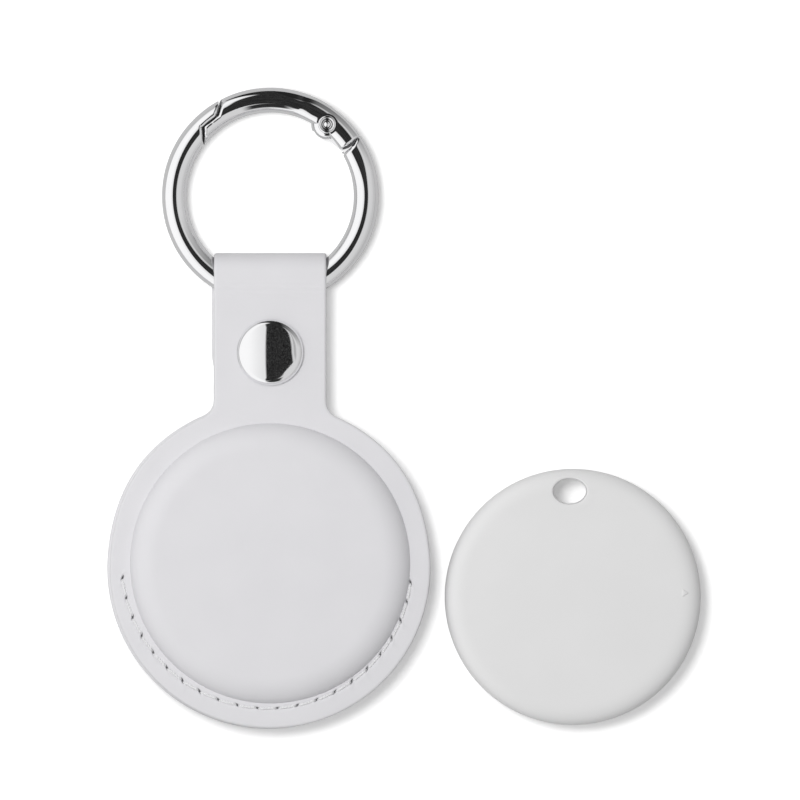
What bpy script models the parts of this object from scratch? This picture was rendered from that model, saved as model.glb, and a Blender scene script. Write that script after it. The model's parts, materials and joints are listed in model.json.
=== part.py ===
"""A leather key case for a round tracker tag, with its spring-gate ring and the tag beside it.

The case lies on its back. +Y points from the pocket to the ring and +Z up from the table.
The origin is on the table, under the middle of the round body. Lengths are in metres.
"""

import math

import bmesh
import bpy
from mathutils import Vector

# Leather and clearances
LEATHER = 0.0009
LAYER_GAP = 0.00025
FIT_GAP = 0.0002
CUT_OVERRUN = 0.003
MERGE = 0.000001

# Tracker tag
TAG_RADIUS = 0.0195
TAG_THICKNESS = 0.0065
TAG_EDGE = 0.0033
TAG_WALL = 0.0008
TAG_SPACING = 0.00204
TAG_Y = -0.00444
KEY_HOLE_X = -0.00046
KEY_HOLE_INSET = 0.0034
KEY_HOLE_HALF_WIDTH = 0.00253
KEY_HOLE_HALF_HEIGHT = 0.00191
SEAL_HEIGHT = 0.0003
SEAL_WIDTH = 0.0005
SEAL_RECESS = 0.0004

# Inside the tag
BOARD_THICKNESS = 0.0006
BOARD_INSET = 0.003
CELL_RADIUS = 0.01
CELL_HEIGHT = 0.0032
CELL_Y = -0.004
CELL_STEP = 0.0009
LEAF_LENGTH = 0.008
LEAF_WIDTH = 0.003
LEAF_THICKNESS = 0.00015
CLIP_WIDTH = 0.005
CLIP_THICKNESS = 0.00025
CLIP_FOOT = 0.0014
CLIP_HEIGHT = 0.0028
CLIP_CLEARANCE = 0.0003
SOUNDER_RADIUS = 0.0036
SOUNDER_HEIGHT = 0.0018
SOUNDER_PORT = 0.0005
SOUNDER_X = -0.008
SOUNDER_Y = 0.0098
CAN_LENGTH = 0.006
CAN_WIDTH = 0.005
CAN_HEIGHT = 0.0014
CAN_X = 0.0075
CAN_Y = 0.0092
ANTENNA_LENGTH = 0.0032
ANTENNA_WIDTH = 0.0012
ANTENNA_HEIGHT = 0.0008
ANTENNA_GAP = 0.002

# Sewn body
RIM_WIDTH = 0.0031
SHOULDER_LIFT = 0.0007
SHOULDER_FADE_SHARE = 0.1
SHOULDER_RISE_SHARE = 0.65
BACK_SHIFT = -0.0003
BACK_REVEAL = 0.0001
POCKET_PLAY = 0.0009
POCKET_HEADROOM = 0.0004
BOSS_Y = 0.0007
BOSS_SHOULDER = 0.004
BACK_BOSS_DEPTH = 0.0039
FLAP_LINE_Y = 0.002
FLAP_GAP = 0.0003

# Strap
STRAP_HALF = 0.00855
TAB_INSET = 0.00025
NECK_FILLET = 0.0026
TAIL_CLEARANCE = 0.00225
CAP_CLEARANCE = 0.00062
WIRE_CLEARANCE = 0.0016
TAB_SETBACK = 0.0005
TAIL_LIFT = 0.001

# Stitching
STITCH_HOLES = 22
STITCH_START = math.radians(185.6)
STITCH_END = math.radians(352.2)
STITCH_MARGIN_LEFT = 0.0015
STITCH_MARGIN_RIGHT = 0.0006
HOLE_RADIUS = 0.0006
THREAD_RADIUS = 0.0002
THREAD_LEG = 0.00028

# Snap fastener
CAP_RADIUS = 0.00508
CAP_EDGE = 0.00035
CAP_DOME = 0.001
BACK_CAP_HEIGHT = 0.00075
BACK_CAP_FLAT = 0.0036
SHANK_RADIUS = 0.00115
STUD_FLANGE_RADIUS = 0.003
STUD_FLANGE_HEIGHT = 0.0006
STUD_WAIST = 0.0014
STUD_HEAD = 0.00172
STUD_HEAD_HEIGHT = 0.0005
TAB_HOLE_PLAY = 0.0004
SOCKET_RADIUS = 0.0047
SOCKET_HEIGHT = 0.0008
SOCKET_PLAY = 0.0003
GROOVE_DEPTH = 0.0007
GROOVE_HEIGHT = 0.0004
SOCKET_WIRE = 0.00012
SOCKET_SPRING_GAP = math.radians(50)

# Spring-gate ring
RING_INNER_RADIUS = 0.0127
WIRE_RADIUS = 0.0019
PIN_INSET = 0.0007
PIN_ANGLE = math.radians(51.5)
EYE_RADIUS = 0.0022
EYE_HALF_HEIGHT = 0.00165
SHOULDER_CUT = 0.0052
GATE_TAIL = 0.00428
GATE_END_ANGLE = math.radians(-54.4)
SLOT_RELIEF = 0.001
TONGUE_RADIUS = 0.0017
TONGUE_HALF_HEIGHT = 0.0006
TONGUE_ROOT_ANGLE = math.radians(26)
TONGUE_HALF_WIDTH = 0.0011
PIN_RADIUS = 0.0007
PIN_HEAD_RADIUS = 0.0013
PIN_HEAD_HEIGHT = 0.0003
SPOT_FACE_RADIUS = 0.0016
SPOT_FACE_DEPTH = 0.0001
NOSE_OUTER = math.radians(120.0)
NOSE_STEP_OUT = math.radians(124.9)
NOSE_STEP_IN = math.radians(135.7)
NOSE_INNER = math.radians(145.1)
NOSE_LAP_SHIFT = 0.0004
NOSE_GAP = 0.00035
BORE_RADIUS = 0.0009
BORE_LENGTH = 0.0032
BORE_TURN = math.radians(20)
COIL_RADIUS = 0.00058
COIL_WIRE = 0.00013
COIL_TURNS = 5

# How finely round shapes are drawn
DISC_STEPS = 48
BOSS_STEPS = 4
BOSS_SWEEP = math.radians(75)
STRAP_COLUMNS = 6
SLOPE_ROWS = 5
FOLD_ROWS = 9
FILLET_STEPS = 4
TAIL_END_STEPS = 12
RING_STEPS = 72
WIRE_STEPS = 12
SMALL_STEPS = 24
TAG_STEPS = 48
EDGE_STEPS = 4
HOLE_STEPS = 6
COIL_STEPS = 8
SECTOR_STEPS = 8
SHARP_ANGLE = math.radians(35)

# Sizes and places that follow from those above
BACK_RIM_TOP = BACK_BOSS_DEPTH + LEATHER
FRONT_RIM_BOTTOM = BACK_RIM_TOP + LAYER_GAP
FRONT_RIM_TOP = FRONT_RIM_BOTTOM + LEATHER
FRONT_BOSS_TOP = 2 * LEATHER + TAG_THICKNESS + POCKET_HEADROOM
BOSS_RADIUS = TAG_RADIUS + POCKET_PLAY + LEATHER
BOSS_FLAT_RADIUS = BOSS_RADIUS - BOSS_SHOULDER
DISC_RADIUS = BOSS_RADIUS + RIM_WIDTH
BACK_RADIUS = DISC_RADIUS + BACK_REVEAL
TAB_HALF = STRAP_HALF - TAB_INSET
STITCH_RADIUS_LEFT = BOSS_RADIUS + STITCH_MARGIN_LEFT
STITCH_RADIUS_RIGHT = BOSS_RADIUS + STITCH_MARGIN_RIGHT
SNAP_Y = BOSS_Y + BOSS_RADIUS + TAIL_CLEARANCE + STRAP_HALF
NECK_FLAT_END = SNAP_Y + CAP_RADIUS + CAP_CLEARANCE
TAB_END = NECK_FLAT_END - TAB_SETBACK
SLOPE_END = NECK_FLAT_END + WIRE_RADIUS + WIRE_CLEARANCE
FOLD_INNER = WIRE_RADIUS + FIT_GAP
FOLD_OUTER = FOLD_INNER + LEATHER
FOLD_Z = FOLD_OUTER
RING_RADIUS = RING_INNER_RADIUS + WIRE_RADIUS
RING_OUTER_RADIUS = RING_INNER_RADIUS + 2 * WIRE_RADIUS
PIN_DISTANCE = RING_RADIUS - PIN_INSET
NOSE_LAP_RADIUS = RING_RADIUS + NOSE_LAP_SHIFT
RING_Y = SLOPE_END + RING_RADIUS
RING_CENTRE = Vector((0, RING_Y, FOLD_Z))
FOLD_Y = RING_Y - math.sqrt(RING_INNER_RADIUS**2 - STRAP_HALF**2) - WIRE_RADIUS
PIN_PLACE = RING_CENTRE + PIN_DISTANCE * Vector((math.cos(PIN_ANGLE), math.sin(PIN_ANGLE), 0))
SNAP_PLACE = Vector((0, SNAP_Y, 0))
TAIL_HINGE_Y = FOLD_Y - LAYER_GAP / 2
TAG_X = BACK_RADIUS + TAG_SPACING + TAG_RADIUS
TAG_PLACE = Vector((TAG_X, TAG_Y, 0))
KEY_HOLE_Y = TAG_RADIUS - KEY_HOLE_INSET
BOARD_RADIUS = TAG_RADIUS - BOARD_INSET
KEY_HOLE_PLACE = TAG_PLACE + Vector((KEY_HOLE_X, KEY_HOLE_Y, 0))


# Helpers

def clear_scene():
    for obj in list(bpy.data.objects):
        bpy.data.objects.remove(obj, do_unlink=True)


def finish_material(name, colour, roughness, metallic):
    material = bpy.data.materials.new(name)
    material.use_nodes = True
    shader = material.node_tree.nodes["Principled BSDF"]
    shader.inputs["Base Color"].default_value = (*colour, 1)
    shader.inputs["Roughness"].default_value = roughness
    shader.inputs["Metallic"].default_value = metallic
    return material


def axis_empty(name, place):
    empty = bpy.data.objects.new(name, None)
    empty.location = place
    bpy.context.collection.objects.link(empty)
    return empty


def add_object(name, data, finish, carrier=None):
    """Links an object whose data is in world coordinates, and hangs it on the empty of its joint."""
    obj = bpy.data.objects.new(name, data)
    bpy.context.collection.objects.link(obj)
    if finish:
        data.materials.append(FINISHES[finish])
    if carrier:
        obj.parent = carrier
        obj.location = -Vector(carrier.location)
    return obj


def add_mesh(name, bm, finish, carrier=None, closed=True):
    if closed:
        bmesh.ops.recalc_face_normals(bm, faces=bm.faces)
    mesh = bpy.data.meshes.new(name)
    bm.to_mesh(mesh)
    bm.free()
    mesh.shade_smooth()
    mesh.set_sharp_from_angle(angle=SHARP_ANGLE)
    return add_object(name, mesh, finish, carrier)


def hide_cutter(obj):
    obj.hide_render = True
    obj.display_type = "WIRE"
    return obj


def apply_cut(obj, cutter, operation="DIFFERENCE"):
    boolean = obj.modifiers.new(cutter.name, "BOOLEAN")
    boolean.operation = operation
    boolean.object = cutter


def turned_bm(profile, centre, steps, bm=None):
    """Turns a closed outline of (radius, height) points about the vertical through the centre."""
    bm = bm or bmesh.new()
    verts = [bm.verts.new((centre.x + r, centre.y, centre.z + z)) for r, z in profile]
    edges = [bm.edges.new(pair) for pair in zip(verts, verts[1:])]
    if profile[0][0] > 0:
        edges.append(bm.edges.new((verts[-1], verts[0])))
    bmesh.ops.spin(
        bm, geom=verts + edges, cent=centre, axis=(0, 0, 1), angle=2 * math.pi, steps=steps,
        use_merge=True,
    )
    bmesh.ops.remove_doubles(bm, verts=bm.verts, dist=MERGE)
    return bm


def add_turned(name, profile, centre, finish, carrier=None, steps=SMALL_STEPS):
    return add_mesh(name, turned_bm(profile, centre, steps), finish, carrier)


def drum_profile(radius, low, high):
    return [(0, low), (radius, low), (radius, high), (0, high)]


def hoop_profile(inner, outer, low, high):
    return [(inner, low), (outer, low), (outer, high), (inner, high)]


def prism_bm(outline, low, high):
    """Raises a flat outline of (x, y) points from one height to another."""
    bm = bmesh.new()
    face = bm.faces.new([bm.verts.new((x, y, low)) for x, y in outline])
    raised = bmesh.ops.extrude_face_region(bm, geom=[face])["geom"]
    verts = [v for v in raised if isinstance(v, bmesh.types.BMVert)]
    bmesh.ops.translate(bm, verts=verts, vec=(0, 0, high - low))
    return bm


def add_prism(name, outline, low, high, finish=None, carrier=None):
    obj = add_mesh(name, prism_bm(outline, low, high), finish, carrier)
    return obj if finish else hide_cutter(obj)


def drum_cutter(name, radius, centre, low, high, steps=SMALL_STEPS):
    return hide_cutter(add_turned(name, drum_profile(radius, low, high), centre, None, steps=steps))


def ellipse_outline(centre, half_x, half_y, steps):
    turns = [2 * math.pi * i / steps for i in range(steps)]
    return [(centre.x + half_x * math.cos(a), centre.y + half_y * math.sin(a)) for a in turns]


def rectangle(centre_x, centre_y, length, width):
    x, y = length / 2, width / 2
    corners = ((-x, -y), (x, -y), (x, y), (-x, y))
    return [(centre_x + i, centre_y + j) for i, j in corners]


def add_tube(name, points, radius, finish, carrier=None, roundness=1):
    curve = bpy.data.curves.new(name, "CURVE")
    curve.dimensions = "3D"
    curve.bevel_depth = radius
    curve.bevel_resolution = roundness
    curve.use_fill_caps = True
    spline = curve.splines.new("POLY")
    spline.points.add(len(points) - 1)
    for point, place in zip(spline.points, points):
        point.co = (*place, 1)
    return add_object(name, curve, finish, carrier)


def polar(distance, angle, centre=RING_CENTRE):
    return (centre.x + distance * math.cos(angle), centre.y + distance * math.sin(angle))


def eased(share):
    share = min(max(share, 0), 1)
    return share * share * (3 - 2 * share)


# Leather

def disc_edge(radius, angle):
    """The round edge, which stands a little wider beside the neck."""
    lift = SHOULDER_LIFT * eased((math.sin(angle) - SHOULDER_FADE_SHARE) / SHOULDER_RISE_SHARE)
    return radius + lift


def half_outline(radius, half_width, neck_end):
    """The right edge of disc and neck, from the foot of the disc up to the neck's corner."""
    shoulder = radius + SHOULDER_LIFT
    fillet_x = half_width + NECK_FILLET
    fillet_y = math.sqrt((shoulder + NECK_FILLET) ** 2 - fillet_x**2)
    meeting = math.atan2(fillet_y, fillet_x)
    half_steps = DISC_STEPS // 2
    first = -math.pi / 2
    points = []
    for i in range(half_steps + 1):
        angle = first + (meeting - first) * i / half_steps
        reach = disc_edge(radius, angle)
        points.append((reach * math.cos(angle), reach * math.sin(angle)))
    points.pop()
    for i in range(FILLET_STEPS + 1):
        angle = math.pi + meeting * (1 - i / FILLET_STEPS)
        points.append((fillet_x + NECK_FILLET * math.cos(angle), fillet_y + NECK_FILLET * math.sin(angle)))
    points.append((half_width, (fillet_y + neck_end) / 2))
    points.append((half_width, neck_end))
    return points


def panel_outline(radius, half_width, neck_end, shift):
    """The whole edge, counter-clockwise from the foot of the disc, with the points across the neck."""
    right = half_outline(radius, half_width, neck_end)
    across = [half_width - 2 * half_width * i / STRAP_COLUMNS for i in range(1, STRAP_COLUMNS)]
    left = [(-x, y) for x, y in reversed(right)]
    points = right + [(x, neck_end) for x in across] + left[:-1]
    return [(x + shift, y) for x, y in points]


def boss_profile(rim, top):
    """Radius and height of the boss, from the edge of its flat top down to its sharp foot."""
    reach = BOSS_SHOULDER / math.sin(BOSS_SWEEP)
    drop = (top - rim) / (1 - math.cos(BOSS_SWEEP))
    turns = [BOSS_SWEEP * i / BOSS_STEPS for i in range(BOSS_STEPS + 1)]
    return [
        (BOSS_FLAT_RADIUS + reach * math.sin(a), top - drop * (1 - math.cos(a))) for a in turns
    ]


def moulded_sheet(outline, rim, top):
    """The outer face of a moulded panel: flat rim, round boss, flat top."""
    bm = bmesh.new()
    centre = Vector((0, BOSS_Y))
    rings = []
    for r, z in boss_profile(rim, top):
        ring = []
        for x, y in outline:
            ray = (Vector((x, y)) - centre).normalized() * r
            ring.append(bm.verts.new((centre.x + ray.x, centre.y + ray.y, z)))
        rings.append(ring)
    rings.append([bm.verts.new((x, y, rim)) for x, y in outline])
    for inner, outer in zip(rings, rings[1:]):
        for i in range(len(outline)):
            j = (i + 1) % len(outline)
            bm.faces.new((inner[i], outer[i], outer[j], inner[j]))
    bm.faces.new(rings[0])
    return bm, rings[-1]


def thicken(obj, side):
    """Gives a sheet its thickness, below its faces (-1) or above them (1)."""
    solidify = obj.modifiers.new("thickness", "SOLIDIFY")
    solidify.thickness = LEATHER
    solidify.offset = side
    solidify.use_even_offset = True


def slope(y, low_y, high_y, low_z, high_z):
    return low_z + (high_z - low_z) * eased((y - low_y) / (high_y - low_y))


def add_front_panel():
    outline = panel_outline(DISC_RADIUS, STRAP_HALF, NECK_FLAT_END, 0)
    bm, edge = moulded_sheet(outline, FRONT_RIM_TOP, FRONT_BOSS_TOP)
    corner = len(half_outline(DISC_RADIUS, STRAP_HALF, NECK_FLAT_END)) - 1
    row = edge[corner : corner + STRAP_COLUMNS + 1]
    path = []
    for i in range(1, SLOPE_ROWS + 1):
        y = NECK_FLAT_END + (SLOPE_END - NECK_FLAT_END) * i / SLOPE_ROWS
        path.append((y, slope(y, NECK_FLAT_END, SLOPE_END, FRONT_RIM_TOP, FOLD_Z + FOLD_OUTER)))
    for i in range(FOLD_ROWS + 1):
        angle = math.pi / 2 - math.pi * i / FOLD_ROWS
        path.append((FOLD_Y + FOLD_OUTER * math.cos(angle), FOLD_Z + FOLD_OUTER * math.sin(angle)))
    for y, z in path:
        following = [bm.verts.new((vert.co.x, y, z)) for vert in row]
        for i in range(STRAP_COLUMNS):
            bm.faces.new((row[i], following[i], following[i + 1], row[i + 1]))
        row = following
    panel = add_mesh("front_panel", bm, "leather", closed=False)
    thicken(panel, -1)
    apply_cut(panel, STITCH_CUTTER)
    shank_hole = drum_cutter(
        "neck_hole", SHANK_RADIUS + FIT_GAP, SNAP_PLACE, FRONT_RIM_BOTTOM - CUT_OVERRUN,
        FRONT_RIM_TOP + CUT_OVERRUN,
    )
    apply_cut(panel, shank_hole)
    return panel


def back_sheet(name, carrier=None):
    outline = panel_outline(BACK_RADIUS, TAB_HALF, TAB_END, BACK_SHIFT)
    bm, _ = moulded_sheet(outline, BACK_BOSS_DEPTH, 0)
    panel = add_mesh(name, bm, "leather", carrier, closed=False)
    thicken(panel, 1)
    return panel


def add_back_panels(flap_axis):
    reach = BACK_RADIUS + SHOULDER_LIFT + CUT_OVERRUN
    low = -CUT_OVERRUN
    high = BACK_RIM_TOP + CUT_OVERRUN
    lower_edge = FLAP_LINE_Y - FLAP_GAP / 2
    upper_edge = FLAP_LINE_Y + FLAP_GAP / 2
    above = [(-reach, lower_edge), (reach, lower_edge), (reach, TAB_END + reach), (-reach, TAB_END + reach)]
    below = [(-reach, -reach), (reach, -reach), (reach, upper_edge), (-reach, upper_edge)]
    lower = back_sheet("back_panel")
    apply_cut(lower, add_prism("upper_half", above, low, high))
    apply_cut(lower, STITCH_CUTTER)
    flap = back_sheet("back_flap", flap_axis)
    apply_cut(flap, add_prism("lower_half", below, low, high))
    tab_hole = drum_cutter("tab_hole", STUD_FLANGE_RADIUS + TAB_HOLE_PLAY, SNAP_PLACE, low, high)
    apply_cut(flap, tab_hole)


def add_strap_tail(axis):
    bm = bmesh.new()
    xs = [STRAP_HALF - 2 * STRAP_HALF * i / STRAP_COLUMNS for i in range(STRAP_COLUMNS + 1)]
    stations = [SLOPE_END + (NECK_FLAT_END - SLOPE_END) * i / SLOPE_ROWS for i in range(SLOPE_ROWS + 1)]
    rows = []
    for y in [FOLD_Y - LAYER_GAP] + stations:
        z = slope(y, NECK_FLAT_END, SLOPE_END, TAIL_LIFT, 0)
        rows.append([bm.verts.new((x, y, z)) for x in xs])
    for row, following in zip(rows, rows[1:]):
        for i in range(STRAP_COLUMNS):
            bm.faces.new((row[i], row[i + 1], following[i + 1], following[i]))
    end = []
    for i in range(TAIL_END_STEPS + 1):
        angle = math.pi + math.pi * i / TAIL_END_STEPS
        x, y = polar(STRAP_HALF, angle, SNAP_PLACE)
        end.append(bm.verts.new((x, y, TAIL_LIFT)))
    bm.faces.new(rows[-1] + end)
    tail = add_mesh("strap_tail", bm, "leather", axis, closed=False)
    thicken(tail, 1)
    shank_hole = drum_cutter(
        "tail_hole", SHANK_RADIUS + FIT_GAP, SNAP_PLACE, TAIL_LIFT - CUT_OVERRUN,
        TAIL_LIFT + LEATHER + CUT_OVERRUN,
    )
    apply_cut(tail, shank_hole)


# Stitching

def stitch_place(index):
    """Centre of a stitch hole, and the direction of the seam there."""
    share = index / (STITCH_HOLES - 1)
    angle = STITCH_START + (STITCH_END - STITCH_START) * share
    radius = STITCH_RADIUS_LEFT + (STITCH_RADIUS_RIGHT - STITCH_RADIUS_LEFT) * share
    place = Vector((radius * math.cos(angle), BOSS_Y + radius * math.sin(angle), 0))
    return place, Vector((-math.sin(angle), math.cos(angle), 0))


def add_stitch_cutter():
    bm = bmesh.new()
    low = BACK_BOSS_DEPTH - LEATHER
    high = FRONT_RIM_TOP + LEATHER
    for index in range(STITCH_HOLES):
        place, _ = stitch_place(index)
        turned_bm(drum_profile(HOLE_RADIUS, low, high), place, HOLE_STEPS, bm)
    return hide_cutter(add_mesh("stitch_holes", bm, None))


def add_thread(name, surface, meeting):
    """A thread that lies on the leather from hole to hole and makes a U in each."""
    outward = 1 if surface > meeting else -1
    laid = surface + outward * (THREAD_RADIUS + LAYER_GAP / 2)
    turn = meeting + outward * (THREAD_RADIUS + LAYER_GAP / 2)
    points = []
    for index in range(STITCH_HOLES):
        place, along = stitch_place(index)
        before = place - along * THREAD_LEG
        after = place + along * THREAD_LEG
        if index:
            points.append((before.x, before.y, laid))
            points.append((before.x, before.y, turn))
        if index < STITCH_HOLES - 1:
            points.append((after.x, after.y, turn))
            points.append((after.x, after.y, laid))
    return add_tube(name, points, THREAD_RADIUS, "thread")


# Snap fastener

def add_snap(tail_axis):
    cap_low = FRONT_RIM_TOP + FIT_GAP
    stud_top = FRONT_RIM_BOTTOM - FIT_GAP
    dome = [
        (CAP_RADIUS * math.cos(a), cap_low + CAP_EDGE + CAP_DOME * math.sin(a))
        for a in [math.pi / 2 * i / EDGE_STEPS for i in range(EDGE_STEPS + 1)]
    ]
    dome[-1] = (0, cap_low + CAP_EDGE + CAP_DOME)
    shank = [(0, FRONT_RIM_BOTTOM), (SHANK_RADIUS, FRONT_RIM_BOTTOM), (SHANK_RADIUS, cap_low)]
    add_turned("snap_cap", shank + [(CAP_RADIUS, cap_low)] + dome, SNAP_PLACE, "chrome")

    socket_low = TAIL_LIFT + LEATHER + FIT_GAP
    socket_top = socket_low + SOCKET_HEIGHT
    head_low = socket_low + FIT_GAP
    head_high = head_low + STUD_HEAD_HEIGHT
    flange_low = stud_top - STUD_FLANGE_HEIGHT
    stud = [
        (0, head_low), (STUD_WAIST, head_low), (STUD_HEAD, (head_low + head_high) / 2),
        (STUD_WAIST, head_high), (STUD_WAIST, flange_low), (STUD_FLANGE_RADIUS, flange_low),
        (STUD_FLANGE_RADIUS, stud_top), (0, stud_top),
    ]
    add_turned("snap_stud", stud, SNAP_PLACE, "chrome")

    bore = STUD_HEAD + SOCKET_PLAY
    middle = (socket_low + socket_top) / 2
    groove_low = middle - GROOVE_HEIGHT / 2
    groove_high = middle + GROOVE_HEIGHT / 2
    socket = [
        (bore, socket_low), (SOCKET_RADIUS, socket_low), (SOCKET_RADIUS, socket_top), (bore, socket_top),
        (bore, groove_high), (bore + GROOVE_DEPTH, groove_high), (bore + GROOVE_DEPTH, groove_low),
        (bore, groove_low),
    ]
    add_turned("snap_socket", socket, SNAP_PLACE, "steel", tail_axis)

    spring_radius = bore + GROOVE_DEPTH / 2
    turns = [
        SOCKET_SPRING_GAP / 2 + (2 * math.pi - SOCKET_SPRING_GAP) * i / SMALL_STEPS
        for i in range(SMALL_STEPS + 1)
    ]
    hoop = [(*polar(spring_radius, a, SNAP_PLACE), middle) for a in turns]
    add_tube("socket_spring", hoop, SOCKET_WIRE, "steel", tail_axis)

    cap = [
        (0, 0), (BACK_CAP_FLAT, 0), (CAP_RADIUS, BACK_CAP_HEIGHT - CAP_EDGE),
        (CAP_RADIUS, BACK_CAP_HEIGHT), (SHANK_RADIUS, BACK_CAP_HEIGHT),
        (SHANK_RADIUS, socket_low), (0, socket_low),
    ]
    add_turned("snap_back_cap", cap, SNAP_PLACE, "chrome", tail_axis)


# Spring-gate ring

def add_torus(name, carrier):
    bm = bmesh.new()
    section = []
    for i in range(WIRE_STEPS):
        angle = 2 * math.pi * i / WIRE_STEPS
        section.append(
            bm.verts.new(RING_CENTRE + Vector((RING_RADIUS + WIRE_RADIUS * math.cos(angle), 0,
                                               WIRE_RADIUS * math.sin(angle))))
        )
    edges = [bm.edges.new((section[i - 1], section[i])) for i in range(WIRE_STEPS)]
    bmesh.ops.spin(
        bm, geom=section + edges, cent=RING_CENTRE, axis=(0, 0, 1), angle=2 * math.pi,
        steps=RING_STEPS, use_merge=True,
    )
    bmesh.ops.remove_doubles(bm, verts=bm.verts, dist=MERGE)
    return add_mesh(name, bm, "chrome", carrier)


def nose_line(shift):
    """The stepped cut of the nose from outside in, moved towards the gate by a gap."""
    turn = shift / RING_RADIUS
    lap = NOSE_LAP_RADIUS - shift
    tilt_out = (NOSE_STEP_OUT - NOSE_OUTER) / (RING_OUTER_RADIUS - NOSE_LAP_RADIUS)
    tilt_in = (NOSE_INNER - NOSE_STEP_IN) / (NOSE_LAP_RADIUS - RING_INNER_RADIUS)
    outside = RING_OUTER_RADIUS + WIRE_RADIUS
    inside = RING_INNER_RADIUS - WIRE_RADIUS
    return [
        polar(outside, NOSE_OUTER - turn - tilt_out * WIRE_RADIUS),
        polar(lap, NOSE_STEP_OUT - turn),
        polar(lap, NOSE_STEP_IN - turn),
        polar(inside, NOSE_INNER - turn + tilt_in * WIRE_RADIUS),
    ]


def gate_sector(shift, start):
    """The sector of the ring that the gate fills, from a start angle round to the nose."""
    outside = RING_OUTER_RADIUS + WIRE_RADIUS
    inside = RING_INNER_RADIUS - WIRE_RADIUS
    steps = SECTOR_STEPS
    nose = nose_line(shift)
    outer = [polar(outside, start + (NOSE_OUTER - start) * i / steps) for i in range(steps)]
    inner = [polar(inside, NOSE_STEP_IN + (start - NOSE_STEP_IN) * i / steps) for i in range(1, steps + 1)]
    return outer + nose + inner


def add_ring(ring_axis, gate_axis):
    low = FOLD_Z - WIRE_RADIUS - CUT_OVERRUN
    high = FOLD_Z + WIRE_RADIUS + CUT_OVERRUN
    along = Vector((-math.sin(PIN_ANGLE), math.cos(PIN_ANGLE)))
    across = Vector((math.cos(PIN_ANGLE), math.sin(PIN_ANGLE)))
    pin = PIN_PLACE.xy
    reach = 2 * WIRE_RADIUS + SHOULDER_CUT

    frame = add_torus("ring_frame", ring_axis)
    apply_cut(frame, add_prism("gate_room", gate_sector(0, PIN_ANGLE), low, high))
    apply_cut(frame, drum_cutter("shoulder_room", SHOULDER_CUT, PIN_PLACE, -CUT_OVERRUN - WIRE_RADIUS,
                                 WIRE_RADIUS + CUT_OVERRUN))
    root_out = polar(RING_RADIUS + TONGUE_HALF_WIDTH, TONGUE_ROOT_ANGLE)
    root_in = polar(RING_RADIUS - TONGUE_HALF_WIDTH, TONGUE_ROOT_ANGLE)
    back = math.atan2(*reversed(Vector(root_out) - pin))
    round_end = [
        polar(TONGUE_RADIUS, back + math.pi / 2 + math.pi * i / TAIL_END_STEPS, PIN_PLACE)
        for i in range(TAIL_END_STEPS + 1)
    ]
    tongue_low = FOLD_Z - TONGUE_HALF_HEIGHT
    tongue_high = FOLD_Z + TONGUE_HALF_HEIGHT
    tongue = add_prism("tongue", [root_out] + round_end + [root_in], tongue_low, tongue_high)
    apply_cut(frame, tongue, "UNION")
    pin_hole = drum_cutter("pin_hole", PIN_RADIUS + FIT_GAP, PIN_PLACE, -CUT_OVERRUN - WIRE_RADIUS,
                           WIRE_RADIUS + CUT_OVERRUN, COIL_STEPS * 2)
    apply_cut(frame, pin_hole)

    end_normal = Vector((math.cos(GATE_END_ANGLE), math.sin(GATE_END_ANGLE)))
    tail_cut_at = pin + end_normal * GATE_TAIL
    side = Vector((-end_normal.y, end_normal.x))
    tail_room = [
        tail_cut_at + side * reach, tail_cut_at - side * reach,
        tail_cut_at - side * reach + end_normal * reach, tail_cut_at + side * reach + end_normal * reach,
    ]
    gate = add_torus("ring_gate", gate_axis)
    start = PIN_ANGLE - SHOULDER_CUT / RING_RADIUS
    apply_cut(gate, add_prism("gate_stock", gate_sector(NOSE_GAP, start), low, high), "INTERSECT")
    eye = drum_cutter("gate_eye", EYE_RADIUS, PIN_PLACE, -EYE_HALF_HEIGHT, EYE_HALF_HEIGHT)
    apply_cut(gate, eye, "UNION")
    apply_cut(gate, add_prism("tail_room", [tuple(p) for p in tail_room], low, high))
    slot_half = TONGUE_HALF_HEIGHT + FIT_GAP
    slot_radius = TONGUE_RADIUS + FIT_GAP
    slot_from = pin + along * SLOT_RELIEF
    lean = math.asin(SLOT_RELIEF / slot_radius)
    slot_end = [
        polar(slot_radius, PIN_ANGLE + lean + (math.pi - 2 * lean) * i / TAIL_END_STEPS, PIN_PLACE)
        for i in range(TAIL_END_STEPS + 1)
    ]
    corners = [
        slot_from - across * reach, slot_from - across * reach - along * reach,
        slot_from + across * reach - along * reach, slot_from + across * reach,
    ]
    slot = slot_end + [tuple(p) for p in corners]
    apply_cut(gate, add_prism("gate_slot", slot, FOLD_Z - slot_half, FOLD_Z + slot_half))
    apply_cut(gate, pin_hole)
    seat = EYE_HALF_HEIGHT - SPOT_FACE_DEPTH
    far = WIRE_RADIUS + CUT_OVERRUN
    apply_cut(gate, drum_cutter("upper_spot_face", SPOT_FACE_RADIUS, PIN_PLACE, seat, far))
    apply_cut(gate, drum_cutter("lower_spot_face", SPOT_FACE_RADIUS, PIN_PLACE, -far, -seat))

    head = seat + FIT_GAP
    rivet = [
        (0, -head - PIN_HEAD_HEIGHT), (PIN_HEAD_RADIUS, -head - PIN_HEAD_HEIGHT), (PIN_HEAD_RADIUS, -head),
        (PIN_RADIUS, -head), (PIN_RADIUS, head), (PIN_HEAD_RADIUS, head),
        (PIN_HEAD_RADIUS, head + PIN_HEAD_HEIGHT), (0, head + PIN_HEAD_HEIGHT),
    ]
    add_turned("gate_pin", rivet, PIN_PLACE, "chrome", ring_axis)
    return gate


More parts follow.
